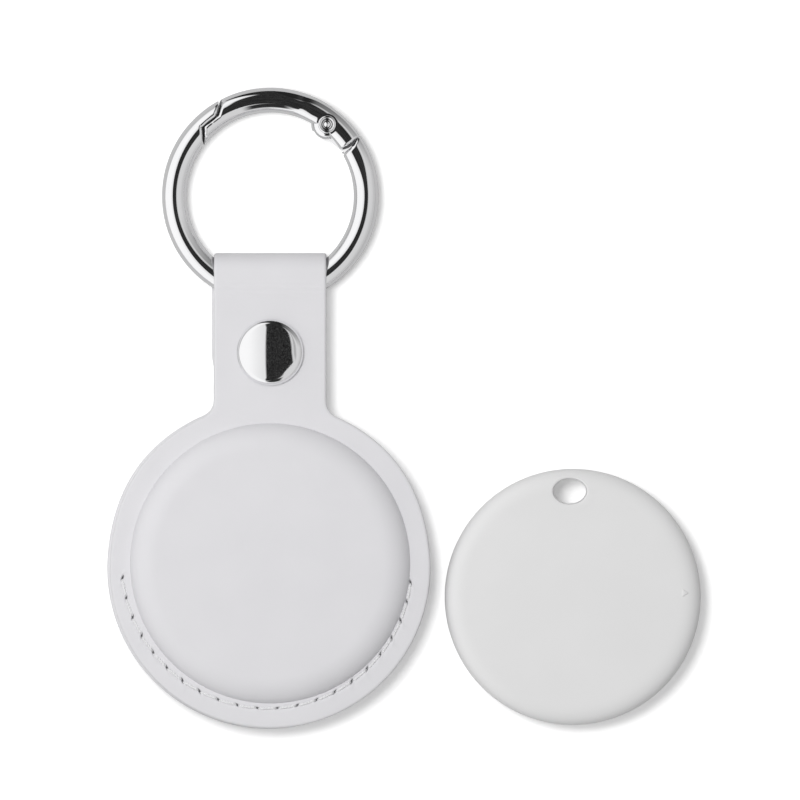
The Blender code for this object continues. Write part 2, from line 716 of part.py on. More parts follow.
def add_gate_spring(gate, gate_axis):
    target = RING_CENTRE + RING_RADIUS * Vector(
        (math.cos(PIN_ANGLE + BORE_TURN), math.sin(PIN_ANGLE + BORE_TURN), 0)
    )
    ahead = (target - PIN_PLACE).normalized()
    aside = Vector((-ahead.y, ahead.x, 0))
    start = TONGUE_RADIUS
    bm = bmesh.new()
    bmesh.ops.create_cone(
        bm, cap_ends=True, segments=COIL_STEPS * 2, radius1=BORE_RADIUS, radius2=BORE_RADIUS,
        depth=BORE_LENGTH,
    )
    turn = Vector((0, 0, 1)).rotation_difference(ahead).to_matrix()
    bmesh.ops.rotate(bm, verts=bm.verts, cent=(0, 0, 0), matrix=turn)
    bmesh.ops.translate(bm, verts=bm.verts, vec=PIN_PLACE + ahead * (start + BORE_LENGTH / 2))
    bore = hide_cutter(add_mesh("spring_bore", bm, None))
    apply_cut(gate, bore)
    first = start + FIT_GAP + COIL_WIRE
    length = BORE_LENGTH - 2 * (FIT_GAP + COIL_WIRE)
    steps = COIL_TURNS * COIL_STEPS
    coil = []
    for i in range(steps + 1):
        angle = 2 * math.pi * i / COIL_STEPS
        place = PIN_PLACE + ahead * (first + length * i / steps)
        coil.append(place + COIL_RADIUS * (aside * math.cos(angle) + Vector((0, 0, math.sin(angle)))))
    add_tube("gate_spring", coil, COIL_WIRE, "steel", gate_axis, roundness=0)


# Tracker tag

def edge_curve(radius, low, part_height):
    """The rounded edge of a shell, from its flat face out to the parting line."""
    turns = [math.pi / 2 * i / EDGE_STEPS for i in range(EDGE_STEPS + 1)]
    return [
        (radius - TAG_EDGE * (1 - math.sin(a)), low + (part_height - low) * (1 - math.cos(a))) for a in turns
    ]


def add_tag_shell(name, carrier, upper):
    """One shell of the tag: a rounded drum, hollowed but for the post round the key hole."""
    part_height = TAG_THICKNESS / 2 - SEAL_HEIGHT / 2 - FIT_GAP
    over = part_height + CUT_OVERRUN

    def placed(profile):
        return [(r, TAG_THICKNESS - z if upper else z) for r, z in profile]

    def post_like(part, half_width, half_height, low):
        ends = sorted((TAG_THICKNESS - z if upper else z) for z in (low, over))
        outline = ellipse_outline(KEY_HOLE_PLACE, half_width, half_height, SMALL_STEPS)
        return add_prism(f"{name}_{part}", outline, *ends)

    envelope = [(0, 0)] + edge_curve(TAG_RADIUS, 0, part_height) + [(0, part_height)]
    shell = add_turned(name, placed(envelope), TAG_PLACE, "plastic", carrier, steps=TAG_STEPS)
    inside = TAG_RADIUS - TAG_WALL
    room = [(0, TAG_WALL)] + edge_curve(inside, TAG_WALL, part_height) + [(inside, over), (0, over)]
    cavity = hide_cutter(add_turned(f"{name}_room", placed(room), TAG_PLACE, None, steps=TAG_STEPS))
    apply_cut(cavity, post_like("post", KEY_HOLE_HALF_WIDTH + TAG_WALL, KEY_HOLE_HALF_HEIGHT + TAG_WALL, 0))
    apply_cut(shell, cavity)
    apply_cut(shell, post_like("key_hole", KEY_HOLE_HALF_WIDTH, KEY_HOLE_HALF_HEIGHT, -CUT_OVERRUN))


def tag_box(name, length, width, x, y, low, height, finish, carrier):
    outline = rectangle(TAG_X + x, TAG_Y + y, length, width)
    return add_prism(name, outline, low, low + height, finish, carrier)


def add_tag(tag_axis, cover_axis, cell_axis):
    add_tag_shell("tag_base", tag_axis, False)
    add_tag_shell("tag_cover", cover_axis, True)
    middle = TAG_THICKNESS / 2
    seal_outer = TAG_RADIUS - SEAL_RECESS
    add_turned(
        "tag_seal",
        hoop_profile(seal_outer - SEAL_WIDTH, seal_outer, middle - SEAL_HEIGHT / 2, middle + SEAL_HEIGHT / 2),
        TAG_PLACE, "rubber", tag_axis, steps=TAG_STEPS,
    )

    board_low = TAG_WALL + FIT_GAP
    board_top = board_low + BOARD_THICKNESS
    board = add_turned("circuit_board", drum_profile(BOARD_RADIUS, board_low, board_top), TAG_PLACE,
                       "board", tag_axis, steps=TAG_STEPS)
    notch = add_prism(
        "board_notch",
        ellipse_outline(
            KEY_HOLE_PLACE, KEY_HOLE_HALF_WIDTH + TAG_WALL + LAYER_GAP,
            KEY_HOLE_HALF_HEIGHT + TAG_WALL + LAYER_GAP, SMALL_STEPS,
        ),
        board_low - CUT_OVERRUN, board_top + CUT_OVERRUN,
    )
    apply_cut(board, notch)

    seat = board_top + FIT_GAP
    tag_box("negative_contact", LEAF_LENGTH, LEAF_WIDTH, 0, CELL_Y, seat, LEAF_THICKNESS, "steel", tag_axis)
    cell_low = seat + LEAF_THICKNESS + FIT_GAP
    cell_top = cell_low + CELL_HEIGHT
    cell_step = cell_low + CELL_STEP / 2
    cell = [
        (0, cell_low), (CELL_RADIUS - CELL_STEP, cell_low), (CELL_RADIUS - CELL_STEP, cell_step),
        (CELL_RADIUS, cell_step), (CELL_RADIUS, cell_top), (0, cell_top),
    ]
    add_turned("coin_cell", cell, TAG_PLACE + Vector((0, CELL_Y, 0)), "steel", cell_axis, steps=TAG_STEPS // 2)

    clip_y = CELL_Y - CELL_RADIUS - CLIP_CLEARANCE - CLIP_THICKNESS / 2
    clip = tag_box("positive_contact", CLIP_WIDTH, CLIP_THICKNESS, 0, clip_y, seat, CLIP_HEIGHT, "steel",
                   tag_axis)
    foot = hide_cutter(tag_box("clip_foot", CLIP_WIDTH, CLIP_FOOT, 0,
                               clip_y - CLIP_FOOT / 2 + CLIP_THICKNESS / 2, seat, CLIP_THICKNESS, "steel",
                               None))
    apply_cut(clip, foot, "UNION")

    sounder_place = TAG_PLACE + Vector((SOUNDER_X, SOUNDER_Y, 0))
    sounder_top = seat + SOUNDER_HEIGHT
    sounder = [
        (0, seat), (SOUNDER_RADIUS, seat), (SOUNDER_RADIUS, sounder_top), (SOUNDER_PORT, sounder_top),
        (SOUNDER_PORT, sounder_top - SOUNDER_PORT), (0, sounder_top - SOUNDER_PORT),
    ]
    add_turned("sounder", sounder, sounder_place, "black", tag_axis, steps=SMALL_STEPS)
    tag_box("shield_can", CAN_LENGTH, CAN_WIDTH, CAN_X, CAN_Y, seat, CAN_HEIGHT, "steel", tag_axis)
    antenna_y = KEY_HOLE_Y - KEY_HOLE_HALF_HEIGHT - TAG_WALL - ANTENNA_GAP
    tag_box("antenna", ANTENNA_LENGTH, ANTENNA_WIDTH, KEY_HOLE_X, antenna_y, seat, ANTENNA_HEIGHT, "black",
            tag_axis)


clear_scene()
FINISHES = {
    "leather": finish_material("leather", (0.72, 0.72, 0.735), 0.5, 0),
    "thread": finish_material("thread", (0.78, 0.78, 0.78), 0.7, 0),
    "chrome": finish_material("chrome", (0.75, 0.75, 0.76), 0.08, 1),
    "steel": finish_material("steel", (0.55, 0.55, 0.56), 0.3, 1),
    "plastic": finish_material("plastic", (0.73, 0.73, 0.74), 0.4, 0),
    "rubber": finish_material("rubber", (0.5, 0.5, 0.5), 0.8, 0),
    "board": finish_material("board", (0.03, 0.16, 0.07), 0.5, 0),
    "black": finish_material("black", (0.03, 0.03, 0.03), 0.5, 0),
}
STITCH_CUTTER = add_stitch_cutter()
tail_axis = axis_empty("tail_axis", (0, TAIL_HINGE_Y, 0))
flap_axis = axis_empty("flap_axis", (0, FLAP_LINE_Y, 0))
ring_axis = axis_empty("ring_axis", RING_CENTRE)
gate_axis = axis_empty("gate_axis", PIN_PLACE)
tag_axis = axis_empty("tag_axis", TAG_PLACE)
cover_axis = axis_empty("cover_axis", TAG_PLACE)
cell_axis = axis_empty("cell_axis", TAG_PLACE)
add_front_panel()
add_back_panels(flap_axis)
add_strap_tail(tail_axis)
add_thread("upper_thread", FRONT_RIM_TOP, FRONT_RIM_BOTTOM)
add_thread("bobbin_thread", BACK_BOSS_DEPTH, BACK_RIM_TOP)
add_snap(tail_axis)
ring_gate = add_ring(ring_axis, gate_axis)
add_gate_spring(ring_gate, gate_axis)
add_tag(tag_axis, cover_axis, cell_axis)
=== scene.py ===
import json
import math

import bmesh
import bpy
import numpy as np
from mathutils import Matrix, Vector


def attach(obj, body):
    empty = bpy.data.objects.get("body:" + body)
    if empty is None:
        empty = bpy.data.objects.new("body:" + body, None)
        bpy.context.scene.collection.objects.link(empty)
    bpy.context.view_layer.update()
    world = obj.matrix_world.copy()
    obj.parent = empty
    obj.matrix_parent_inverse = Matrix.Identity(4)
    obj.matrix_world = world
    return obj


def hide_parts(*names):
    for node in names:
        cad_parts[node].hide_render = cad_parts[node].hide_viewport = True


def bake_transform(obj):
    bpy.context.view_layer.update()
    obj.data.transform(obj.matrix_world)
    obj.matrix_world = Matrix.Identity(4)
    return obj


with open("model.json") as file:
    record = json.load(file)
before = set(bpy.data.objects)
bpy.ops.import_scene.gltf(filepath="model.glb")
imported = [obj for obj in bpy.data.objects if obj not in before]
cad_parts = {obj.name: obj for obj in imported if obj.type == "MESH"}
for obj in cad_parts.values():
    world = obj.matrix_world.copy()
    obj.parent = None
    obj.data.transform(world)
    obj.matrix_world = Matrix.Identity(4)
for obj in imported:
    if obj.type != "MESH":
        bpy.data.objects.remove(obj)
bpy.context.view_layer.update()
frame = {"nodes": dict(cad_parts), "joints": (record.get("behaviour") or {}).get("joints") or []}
nodes = frame["nodes"]
scene = bpy.context.scene
mm = 0.001
print("frame loaded")

# Camera, straight above the table
camera = {"middleX": 19.75, "middleY": 25.54, "field": 122.0, "height": 2000.0, "sensor": 36.0}


def addCamera():
    data = bpy.data.cameras.new("overheadCamera")
    data.sensor_width = camera["sensor"]
    data.lens = camera["sensor"] * camera["height"] / camera["field"]
    data.clip_end = 2 * camera["height"] * mm
    eye = bpy.data.objects.new("overheadCamera", data)
    eye.location = (camera["middleX"] * mm, camera["middleY"] * mm, camera["height"] * mm)
    scene.collection.objects.link(eye)
    scene.camera = eye


addCamera()
scene.view_settings.view_transform = "Standard"
print("camera placed")


# Small helpers for node trees

def isSocket(value):
    return isinstance(value, bpy.types.NodeSocket)


def addNode(tree, kind, inputs=None, **settings):
    node = tree.nodes.new(kind)
    for name, value in settings.items():
        setattr(node, name, value)
    for key, value in (inputs or {}).items():
        if isSocket(value):
            tree.links.new(value, node.inputs[key])
        else:
            node.inputs[key].default_value = value
    return node


def calc(operation, *values):
    # a sum on node sockets, made in the tree that they belong to
    tree = next(value for value in values if isSocket(value)).id_data
    return addNode(tree, "ShaderNodeMath", dict(enumerate(values)), operation=operation).outputs[0]


def mathNode(operation):
    return lambda *values: calc(operation, *values)


plus, minus, times, over = (mathNode(name) for name in ("ADD", "SUBTRACT", "MULTIPLY", "DIVIDE"))
timesPlus, least, most = (mathNode(name) for name in ("MULTIPLY_ADD", "MINIMUM", "MAXIMUM"))


def excess(value, limit):
    # how far a value lies above a limit
    return most(minus(value, limit), 0.0)


def bell(value, middle, width):
    off = over(minus(value, middle), width)
    return calc("EXPONENT", times(times(off, off), -1.0))


def between(share, first, second):
    return timesPlus(share, minus(second, first), first)


def remap(value, low, high, toLow=0.0, toHigh=1.0, smooth=True):
    kind = "SMOOTHSTEP" if smooth else "LINEAR"
    return addNode(value.id_data, "ShaderNodeMapRange", {0: value, 1: low, 2: high, 3: toLow, 4: toHigh},
                   interpolation_type=kind).outputs[0]


def mixColour(share, first, second):
    return addNode(share.id_data, "ShaderNodeMix", {0: share, 6: first, 7: second}, data_type="RGBA").outputs[2]


def grey(value):
    return (value, value, value, 1.0)


# Studio: white room, two panels, and between them the dark gap round the camera that the chrome reflects
studio = {
    "leftNear": 0.86,
    "leftFar": 1.06,
    "leftRange": (-0.6, -0.2),
    "rightNear": 0.72,
    "rightFar": 0.58,
    "rightRange": (0.3, 3.0),
    "middleBlur": 0.06,
    "backFade": 0.55,
    "backRange": (1.0, 5.0),
    "backShade": (math.radians(76), math.radians(12), 0.03),
    "overhead": (0.4, 0.8),
    "gap": 0.024,
    "gapLeft": -0.212,
    "gapRight": 0.238,
    "gapFoot": -0.4665,
    "footLean": 1.12,
    "blur": 0.016,
    # past a limit these lines shift or soften: (limit, amount for each unit beyond it)
    "footSoftening": (0.12, 1.3),
    "leftFlare": (0.45, -0.28),
    "leftOpening": (1.2, -0.25),
    "leftSoftening": (0.6, 0.07),
    "flareReach": 0.3,
    "leftBound": (-0.3, 0.25),
    "leftTongue": {"at": 1.3, "width": 0.35, "reach": 0.12},
    "rightBow": -0.42,
    "bowReach": 0.45,
    "rightSplay": (-0.3, -0.15),
    "rightStep": 0.42,
    "stepRange": (-0.2, -0.02),
    "stripAway": 0.058,
    "stripWidth": 0.022,
    "legSides": ((-0.32, -0.16), (0.34, 0.18)),
    "legEnds": ((0.47, 0.57), (3.2, 1.6)),
    "clouds": 60.0,
    "cloudRange": (0.35, 0.7, 0.3, 2.4),
    "doorSide": (-0.9, -0.96),
    "doorTop": (0.2, 0.1),
    "doorShade": -0.55,
    "wallFoot": (0.0, 0.06, 0.7),
    "fill": 0.4,
    "fillLean": 0.45,
    "keyPower": 1.62,
    "keySize": 0.15,
    "keyPlace": (-0.106, 0.062, 0.49),
    "floorColour": 0.9,
    "floorInChrome": 0.55,
    "floorGlow": 0.26,
    "floorSize": 4.0,
    "floorDrop": 0.03,
}


def dressWorld():
    world = bpy.data.worlds.new("studio")
    scene.world = world
    world.use_nodes = True
    tree = world.node_tree
    tree.nodes.clear()
    direction = addNode(tree, "ShaderNodeTexCoord").outputs["Generated"]
    x, y, z = addNode(tree, "ShaderNodeSeparateXYZ", {0: direction}).outputs
    height = most(z, 0.001)
    u = over(x, height)  # how far a reflection leans to the right
    v = over(y, height)  # and to the back
    blur = studio["blur"]
    depth = most(v, 0.0)
    # left side of the gap, which flares a little and leans away towards the back of the room
    limit, shift = studio["leftFlare"]
    leftLine = timesPlus(least(excess(calc("ABSOLUTE", v), limit), studio["flareReach"]), shift, studio["gapLeft"])
    tongue = studio["leftTongue"]
    leftLine = timesPlus(bell(v, tongue["at"], tongue["width"]), tongue["reach"], leftLine)
    leftLine = least(leftLine, timesPlus(v, *studio["leftBound"]))
    limit, shift = studio["leftOpening"]
    leftLine = timesPlus(excess(v, limit), shift, leftLine)
    limit, softening = studio["leftSoftening"]
    leftBlur = timesPlus(excess(v, limit), softening, blur)
    fromLeft = remap(over(minus(u, leftLine), leftBlur), -1.0, 1.0)
    # right side, which bows in, with a half-lit strip beyond it
    bow = least(depth, studio["bowReach"])
    rightLine = timesPlus(times(bow, bow), studio["rightBow"], studio["gapRight"])
    reach, shift = studio["rightSplay"]
    rightLine = timesPlus(most(least(v, 0.0), reach), shift, rightLine)
    fromRight = remap(minus(rightLine, u), -blur, blur)
    strip = bell(minus(u, rightLine), studio["stripAway"], studio["stripWidth"])
    strip = plus(times(strip, remap(v, *studio["stepRange"], 0.0, -studio["rightStep"])), 1.0)
    # foot of the gap, sharp on the right and fading on the left
    foot = timesPlus(u, -studio["footLean"], minus(v, studio["gapFoot"]))
    limit, softening = studio["footSoftening"]
    spread = timesPlus(most(minus(limit, u), 0.0), softening, blur)
    aboveFoot = remap(over(foot, spread), -1.0, 0.0)
    dark = times(times(fromLeft, fromRight), aboveFoot)
    # the stand's leg, a dark wedge towards the front of the room
    front = most(times(v, -1.0), 0.001)
    lean = over(u, front)
    (left, right), (first, last) = studio["legSides"], studio["legEnds"]
    leg = times(remap(lean, *left), remap(lean, *right))
    leg = times(times(leg, remap(front, *first)), remap(front, *last))
    dark = most(dark, leg)
    # the room darkens from the right panel round to the back
    turn = calc("ARCTAN2", depth, most(u, 0.0))
    lit = remap(turn, *studio["backShade"], 1.0, smooth=False)
    wide = calc("SQRT", timesPlus(u, u, times(v, v)))
    lit = between(remap(wide, *studio["overhead"], 1.0, 0.0), lit, 1.0)
    leftGlow = remap(u, *studio["leftRange"], studio["leftFar"], studio["leftNear"])
    leftGlow = times(leftGlow, remap(v, *studio["backRange"], 1.0, studio["backFade"]))
    rightGlow = remap(u, *studio["rightRange"], studio["rightNear"], studio["rightFar"])
    rightGlow = times(times(rightGlow, lit), strip)
    walls = between(remap(u, -studio["middleBlur"], studio["middleBlur"]), leftGlow, rightGlow)
    cloud = addNode(tree, "ShaderNodeTexNoise", {"Vector": direction, "Scale": studio["clouds"], "Detail": 4.0})
    gap = times(remap(cloud.outputs["Fac"], *studio["cloudRange"]), studio["gap"])
    seen = between(dark, walls, gap)
    # the walls darken towards the table, most of all at the doorway in front
    doorway = times(remap(y, *studio["doorSide"]), remap(z, *studio["doorTop"]))
    seen = times(seen, timesPlus(doorway, studio["doorShade"], remap(z, *studio["wallFoot"], 1.0)))
    path = addNode(tree, "ShaderNodeLightPath").outputs
    fill = times(timesPlus(x, -studio["fillLean"], 1.0), studio["fill"])
    level = most(between(path["Is Glossy Ray"], fill, seen), path["Is Camera Ray"])
    back = addNode(tree, "ShaderNodeBackground", {"Color": grey(1.0), "Strength": level})
    addNode(tree, "ShaderNodeOutputWorld", {"Surface": back.outputs[0]})


def addKey():
    data = bpy.data.lights.new("keyPanel", "AREA")
    data.size = studio["keySize"]
    data.energy = studio["keyPower"]
    key = bpy.data.objects.new("keyPanel", data)
    place = Vector(studio["keyPlace"])
    key.location = place + Vector((camera["middleX"] * mm, camera["middleY"] * mm, 0))
    key.rotation_euler = place.to_track_quat("Z", "Y").to_euler()
    key.visible_glossy = False
    key.visible_camera = False
    scene.collection.objects.link(key)


def addFloor():
    half = studio["floorSize"] / 2
    drop = -studio["floorDrop"] * mm
    mesh = bpy.data.meshes.new("tableTop")
    corners = [(-half, -half, drop), (half, -half, drop), (half, half, drop), (-half, half, drop)]
    mesh.from_pydata(corners, [], [(0, 1, 2, 3)])
    floor = bpy.data.objects.new("tableTop", mesh)
    scene.collection.objects.link(floor)
    material = bpy.data.materials.new("tableTop")
    material.use_nodes = True
    tree = material.node_tree
    tree.nodes.clear()
    path = addNode(tree, "ShaderNodeLightPath")
    colour = mixColour(path.outputs["Is Glossy Ray"], grey(studio["floorColour"]), grey(studio["floorInChrome"]))
    plain = addNode(tree, "ShaderNodeBsdfDiffuse", {"Color": colour})
    glow = times(path.outputs["Is Camera Ray"], studio["floorGlow"])
    light = addNode(tree, "ShaderNodeEmission", {"Strength": glow})
    both = addNode(tree, "ShaderNodeAddShader", {0: plain.outputs[0], 1: light.outputs[0]})
    addNode(tree, "ShaderNodeOutputMaterial", {"Surface": both.outputs[0]})
    mesh.materials.append(material)


dressWorld()
addKey()
addFloor()
print("studio ready")


# Effects that several finishes share

def newGroup(name, inputs, outputs):
    tree = bpy.data.node_groups.new(name, "ShaderNodeTree")
    for label, value in inputs.items():
        socket = tree.interface.new_socket(label, in_out="INPUT", socket_type="NodeSocketFloat")
        socket.default_value = value
    for label in outputs:
        tree.interface.new_socket(label, in_out="OUTPUT", socket_type="NodeSocketFloat")
    return tree, addNode(tree, "NodeGroupInput").outputs


def scaledPlace(tree, size):
    place = addNode(tree, "ShaderNodeTexCoord").outputs["Object"]
    per = over(1.0, size) if isSocket(size) else 1.0 / size
    return addNode(tree, "ShaderNodeVectorMath", {0: place, "Scale": per}, operation="SCALE").outputs[0]


def makeGrainGroup():
    tree, entry = newGroup("fineGrain", {"Cell Size": 0.0004, "Mottle Size": 0.006}, ("Height", "Mottle"))
    fine = scaledPlace(tree, entry["Cell Size"])
    warp = addNode(tree, "ShaderNodeTexNoise", {"Vector": fine, "Scale": 0.9, "Detail": 2.0})
    shifted = addNode(tree, "ShaderNodeVectorMath", {0: fine, 1: warp.outputs["Color"]}, operation="ADD")
    cells = addNode(tree, "ShaderNodeTexVoronoi", {"Vector": shifted.outputs[0], "Scale": 1.0}, feature="SMOOTH_F1")
    pores = addNode(tree, "ShaderNodeTexNoise", {"Vector": fine, "Scale": 3.1, "Detail": 3.0})
    height = timesPlus(pores.outputs["Fac"], 0.35, minus(1.0, cells.outputs["Distance"]))
    wide = scaledPlace(tree, entry["Mottle Size"])
    mottle = addNode(tree, "ShaderNodeTexNoise", {"Vector": wide, "Scale": 1.0, "Detail": 4.0})
    addNode(tree, "NodeGroupOutput", {"Height": height, "Mottle": mottle.outputs["Fac"]})
    return tree


def makeMarksGroup():
    tree, entry = newGroup("polishMarks", {"Mark Size": 0.002, "Smudge Size": 0.008}, ("Marks", "Smudge"))
    fine = scaledPlace(tree, entry["Mark Size"])
    stretched = addNode(tree, "ShaderNodeMapping", {
        "Vector": fine, "Scale": (0.4, 14.0, 1.0), "Rotation": (0.0, 0.0, 0.5)})
    lines = addNode(tree, "ShaderNodeTexNoise", {"Vector": stretched.outputs[0], "Scale": 1.5, "Detail": 3.0})
    marks = remap(lines.outputs["Fac"], 0.55, 0.72)
    wide = scaledPlace(tree, entry["Smudge Size"])
    smudge = addNode(tree, "ShaderNodeTexNoise", {"Vector": wide, "Scale": 1.0, "Detail": 3.0})
    addNode(tree, "NodeGroupOutput", {"Marks": marks, "Smudge": smudge.outputs["Fac"]})
    return tree


grainGroup = makeGrainGroup()
marksGroup = makeMarksGroup()


def placeGroup(tree, group, **sizes):
    node = addNode(tree, "ShaderNodeGroup", node_tree=group)
    for label, value in sizes.items():
        node.inputs[label.replace("_", " ")].default_value = value
    return node.outputs


def newMaterial(name, **constants):
    material = bpy.data.materials.new(name)
    material.use_nodes = True
    tree = material.node_tree
    shader = tree.nodes["Principled BSDF"]
    for label, value in constants.items():
        shader.inputs[label.replace("_", " ")].default_value = value
    return material, tree, shader


def feed(shader, label, socket):
    socket.id_data.links.new(socket, shader.inputs[label])


def addBump(tree, shader, height, strength, distance):
    bump = addNode(tree, "ShaderNodeBump", {"Height": height, "Strength": strength, "Distance": distance})
    feed(shader, "Normal", bump.outputs[0])


def solid(colour):
    return (*colour, 1.0)


mottleRange = (0.3, 0.7)  # the part of the mottle that roughness follows

# Leather
leatherLook = {
    "pale": (0.727, 0.721, 0.741, 1.0),
    "deep": (0.692, 0.687, 0.708, 1.0),
    "edge": (0.69, 0.69, 0.70, 1.0),
    # painted shade: the dark colour of the needle slits
    "hole": (0.1, 0.1, 0.104, 1.0),
    "edgeShare": 0.8,
    "grainSize": 0.00042,
    "mottleSize": 0.007,
    "bump": (0.35, 0.00002),
    "roughness": (0.44, 0.56),
}


def makeLeather():
    look = leatherLook
    material, tree, shader = newMaterial("smoothLeather")
    grain = placeGroup(tree, grainGroup, Cell_Size=look["grainSize"], Mottle_Size=look["mottleSize"])
    base = mixColour(grain["Mottle"], look["deep"], look["pale"])
    edge, hole = (addNode(tree, "ShaderNodeAttribute", attribute_name=label).outputs["Fac"]
                  for label in ("edge", "hole"))
    painted = mixColour(times(edge, look["edgeShare"]), base, look["edge"])
    # the needle slits are painted with shade through the hole attribute
    feed(shader, "Base Color", mixColour(hole, painted, look["hole"]))
    feed(shader, "Roughness", remap(grain["Mottle"], *mottleRange, *look["roughness"]))
    addBump(tree, shader, times(grain["Height"], minus(1.0, edge)), *look["bump"])
    return material


# Finishes with a fine grain: sizes and depths in metres
grainedLooks = {
    "suedeLining": {"pale": (0.6, 0.6, 0.61), "deep": (0.558, 0.558, 0.5673), "cell": 0.00018, "mottle": 0.004,
                    "rough": (0.85, 0.95), "bump": (0.6, 0.00004), "sheen": (0.3, 0.6)},
    "waxedThread": {"pale": (0.84, 0.84, 0.85), "deep": (0.74, 0.74, 0.745), "cell": 0.00007, "mottle": 0.0012,
                    "rough": (0.5, 0.7), "bump": (0.6, 0.00003), "sheen": (0.2, 0.5)},
    "satinShell": {"pale": (0.764, 0.763, 0.764), "deep": (0.734, 0.733, 0.734), "cell": 0.00025, "mottle": 0.01,
                   "rough": (0.36, 0.46), "bump": (0.3, 0.00001), "sheen": (0.0, 0.5)},
    "sealRubber": {"pale": (0.42, 0.42, 0.42), "deep": (0.36, 0.36, 0.36), "cell": 0.0002, "mottle": 0.01,
                   "rough": (0.7, 0.85), "bump": (0.3, 0.00002), "sheen": (0.0, 0.5)},
    "ceramicTan": {"pale": (0.42, 0.3, 0.19), "deep": (0.34, 0.24, 0.15), "cell": 0.0002, "mottle": 0.01,
                   "rough": (0.35, 0.5), "bump": (0.3, 0.000005), "sheen": (0.0, 0.5)},
    "mouldedBlack": {"pale": (0.035, 0.035, 0.036), "deep": (0.022, 0.022, 0.023), "cell": 0.0003, "mottle": 0.01,
                     "rough": (0.42, 0.55), "bump": (0.3, 0.00001), "sheen": (0.0, 0.5)},
}
# Metals: colour, least and most roughness, depth of the polishing marks
metalMarks = {"size": 0.003, "smudge": 0.009, "dullness": 0.9, "rough": 0.03, "bump": 0.15}
metalLooks = {
    "polishedChrome": ((0.93, 0.93, 0.94), 0.02, 0.06, 0.000002),
    # painted shade: a dark steel for the walls of the ring's cuts and rivet seats, where only shade falls
    "paintedShadeSteel": ((0.13, 0.13, 0.135), 0.3, 0.45, 0.000006),
    "springSteel": ((0.62, 0.62, 0.63), 0.18, 0.32, 0.000006),
}


def makeGrained(name, look):
    sheen, spread = look["sheen"]
    material, tree, shader = newMaterial(name, Sheen_Weight=sheen, Sheen_Roughness=spread)
    grain = placeGroup(tree, grainGroup, Cell_Size=look["cell"], Mottle_Size=look["mottle"])
    feed(shader, "Base Color", mixColour(grain["Mottle"], solid(look["deep"]), solid(look["pale"])))
    feed(shader, "Roughness", remap(grain["Mottle"], *mottleRange, *look["rough"]))
    addBump(tree, shader, grain["Height"], *look["bump"])
    return material


def makeMetal(name, colour, low, high, depth):
    material, tree, shader = newMaterial(name, Metallic=1.0)
    marks = placeGroup(tree, marksGroup, Mark_Size=metalMarks["size"], Smudge_Size=metalMarks["smudge"])
    dull = tuple(metalMarks["dullness"] * c for c in colour)
    feed(shader, "Base Color", mixColour(marks["Smudge"], solid(dull), solid(colour)))
    rough = timesPlus(marks["Smudge"], high - low, low)
    feed(shader, "Roughness", timesPlus(marks["Marks"], metalMarks["rough"], rough))
    addBump(tree, shader, marks["Marks"], metalMarks["bump"], depth)
    return material


# Board: solder mask over a net of copper tracks
boardLook = {
    "deep": (0.012, 0.1, 0.045, 1.0),
    "pale": (0.02, 0.14, 0.062, 1.0),
    "track": (0.05, 0.26, 0.12, 1.0),
    "trackShare": 0.8,
    "trackSize": 0.0014,
    "grainSize": 0.0006,
    "mottleSize": 0.006,
    "roughness": 0.34,
    "bump": (0.5, 0.00002),
}


def makeBoard():
    look = boardLook
    material, tree, shader = newMaterial("boardMask", Roughness=look["roughness"])
    tracks = addNode(tree, "ShaderNodeTexBrick", {
        "Vector": scaledPlace(tree, look["trackSize"]), "Scale": 1.0, "Mortar Size": 0.09, "Mortar Smooth": 0.15,
        "Brick Width": 1.7, "Row Height": 0.6,
    }, offset=0.37, offset_frequency=3, squash=1.6, squash_frequency=4).outputs["Fac"]
    grain = placeGroup(tree, grainGroup, Cell_Size=look["grainSize"], Mottle_Size=look["mottleSize"])
    base = mixColour(grain["Mottle"], look["deep"], look["pale"])
    feed(shader, "Base Color", mixColour(times(tracks, look["trackShare"]), base, look["track"]))
    addBump(tree, shader, tracks, *look["bump"])
    return material


finish = {"smoothLeather": makeLeather(), "boardMask": makeBoard()}
finish.update({name: makeGrained(name, look) for name, look in grainedLooks.items()})
finish.update({name: makeMetal(name, *look) for name, look in metalLooks.items()})
print("finishes made")


# Meshes are worked out in millimetres and written in metres
jointPlace = {joint["name"]: [c / mm for c in joint["pos_m"]] for joint in frame["joints"] if "pos_m" in joint}


def makeObject(name, mesh, *finishes):
    piece = bpy.data.objects.new(name, mesh)
    scene.collection.objects.link(piece)
    for label in finishes:
        mesh.materials.append(finish[label])
    return piece


def smooth(mesh, angle):
    mesh.shade_smooth()
    mesh.set_sharp_from_angle(angle=math.radians(angle))


def meshFrom(name, points, faces, sharp=35.0):
    mesh = bpy.data.meshes.new(name)
    mesh.from_pydata([(x * mm, y * mm, z * mm) for x, y, z in points], [], faces)
    work = bmesh.new()
    work.from_mesh(mesh)
    bmesh.ops.recalc_face_normals(work, faces=work.faces)
    work.to_mesh(mesh)
    work.free()
    smooth(mesh, sharp)
    return mesh


def applyModifiers(piece):
    bpy.context.view_layer.update()
    old = piece.data
    piece.data = bpy.data.meshes.new_from_object(piece.evaluated_get(bpy.context.evaluated_depsgraph_get()))
    piece.modifiers.clear()
    bpy.data.meshes.remove(old)


def settle(piece, slot, body, *nodeNames):
    # the moving body and the CAD nodes that a finished piece stands for; slot, the material slot, is not used
    if body:
        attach(piece, body)
    if nodeNames:
        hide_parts(*nodeNames)


def band(first, second, closed=True):
    # quads between two rows of point numbers
    count = len(first) if closed else len(first) - 1
    ends = first[1:] + first[:1], second[1:] + second[:1]
    return list(zip(first, second, ends[1], ends[0]))[:count]


def eased(share):
    share = min(max(share, 0.0), 1.0)
    return share * share * (3 - 2 * share)


def arc(centre, radius, first, last, steps):
    turns = [first + (last - first) * i / steps for i in range(steps + 1)]
    return [(centre[0] + radius * math.cos(a), centre[1] + radius * math.sin(a)) for a in turns]


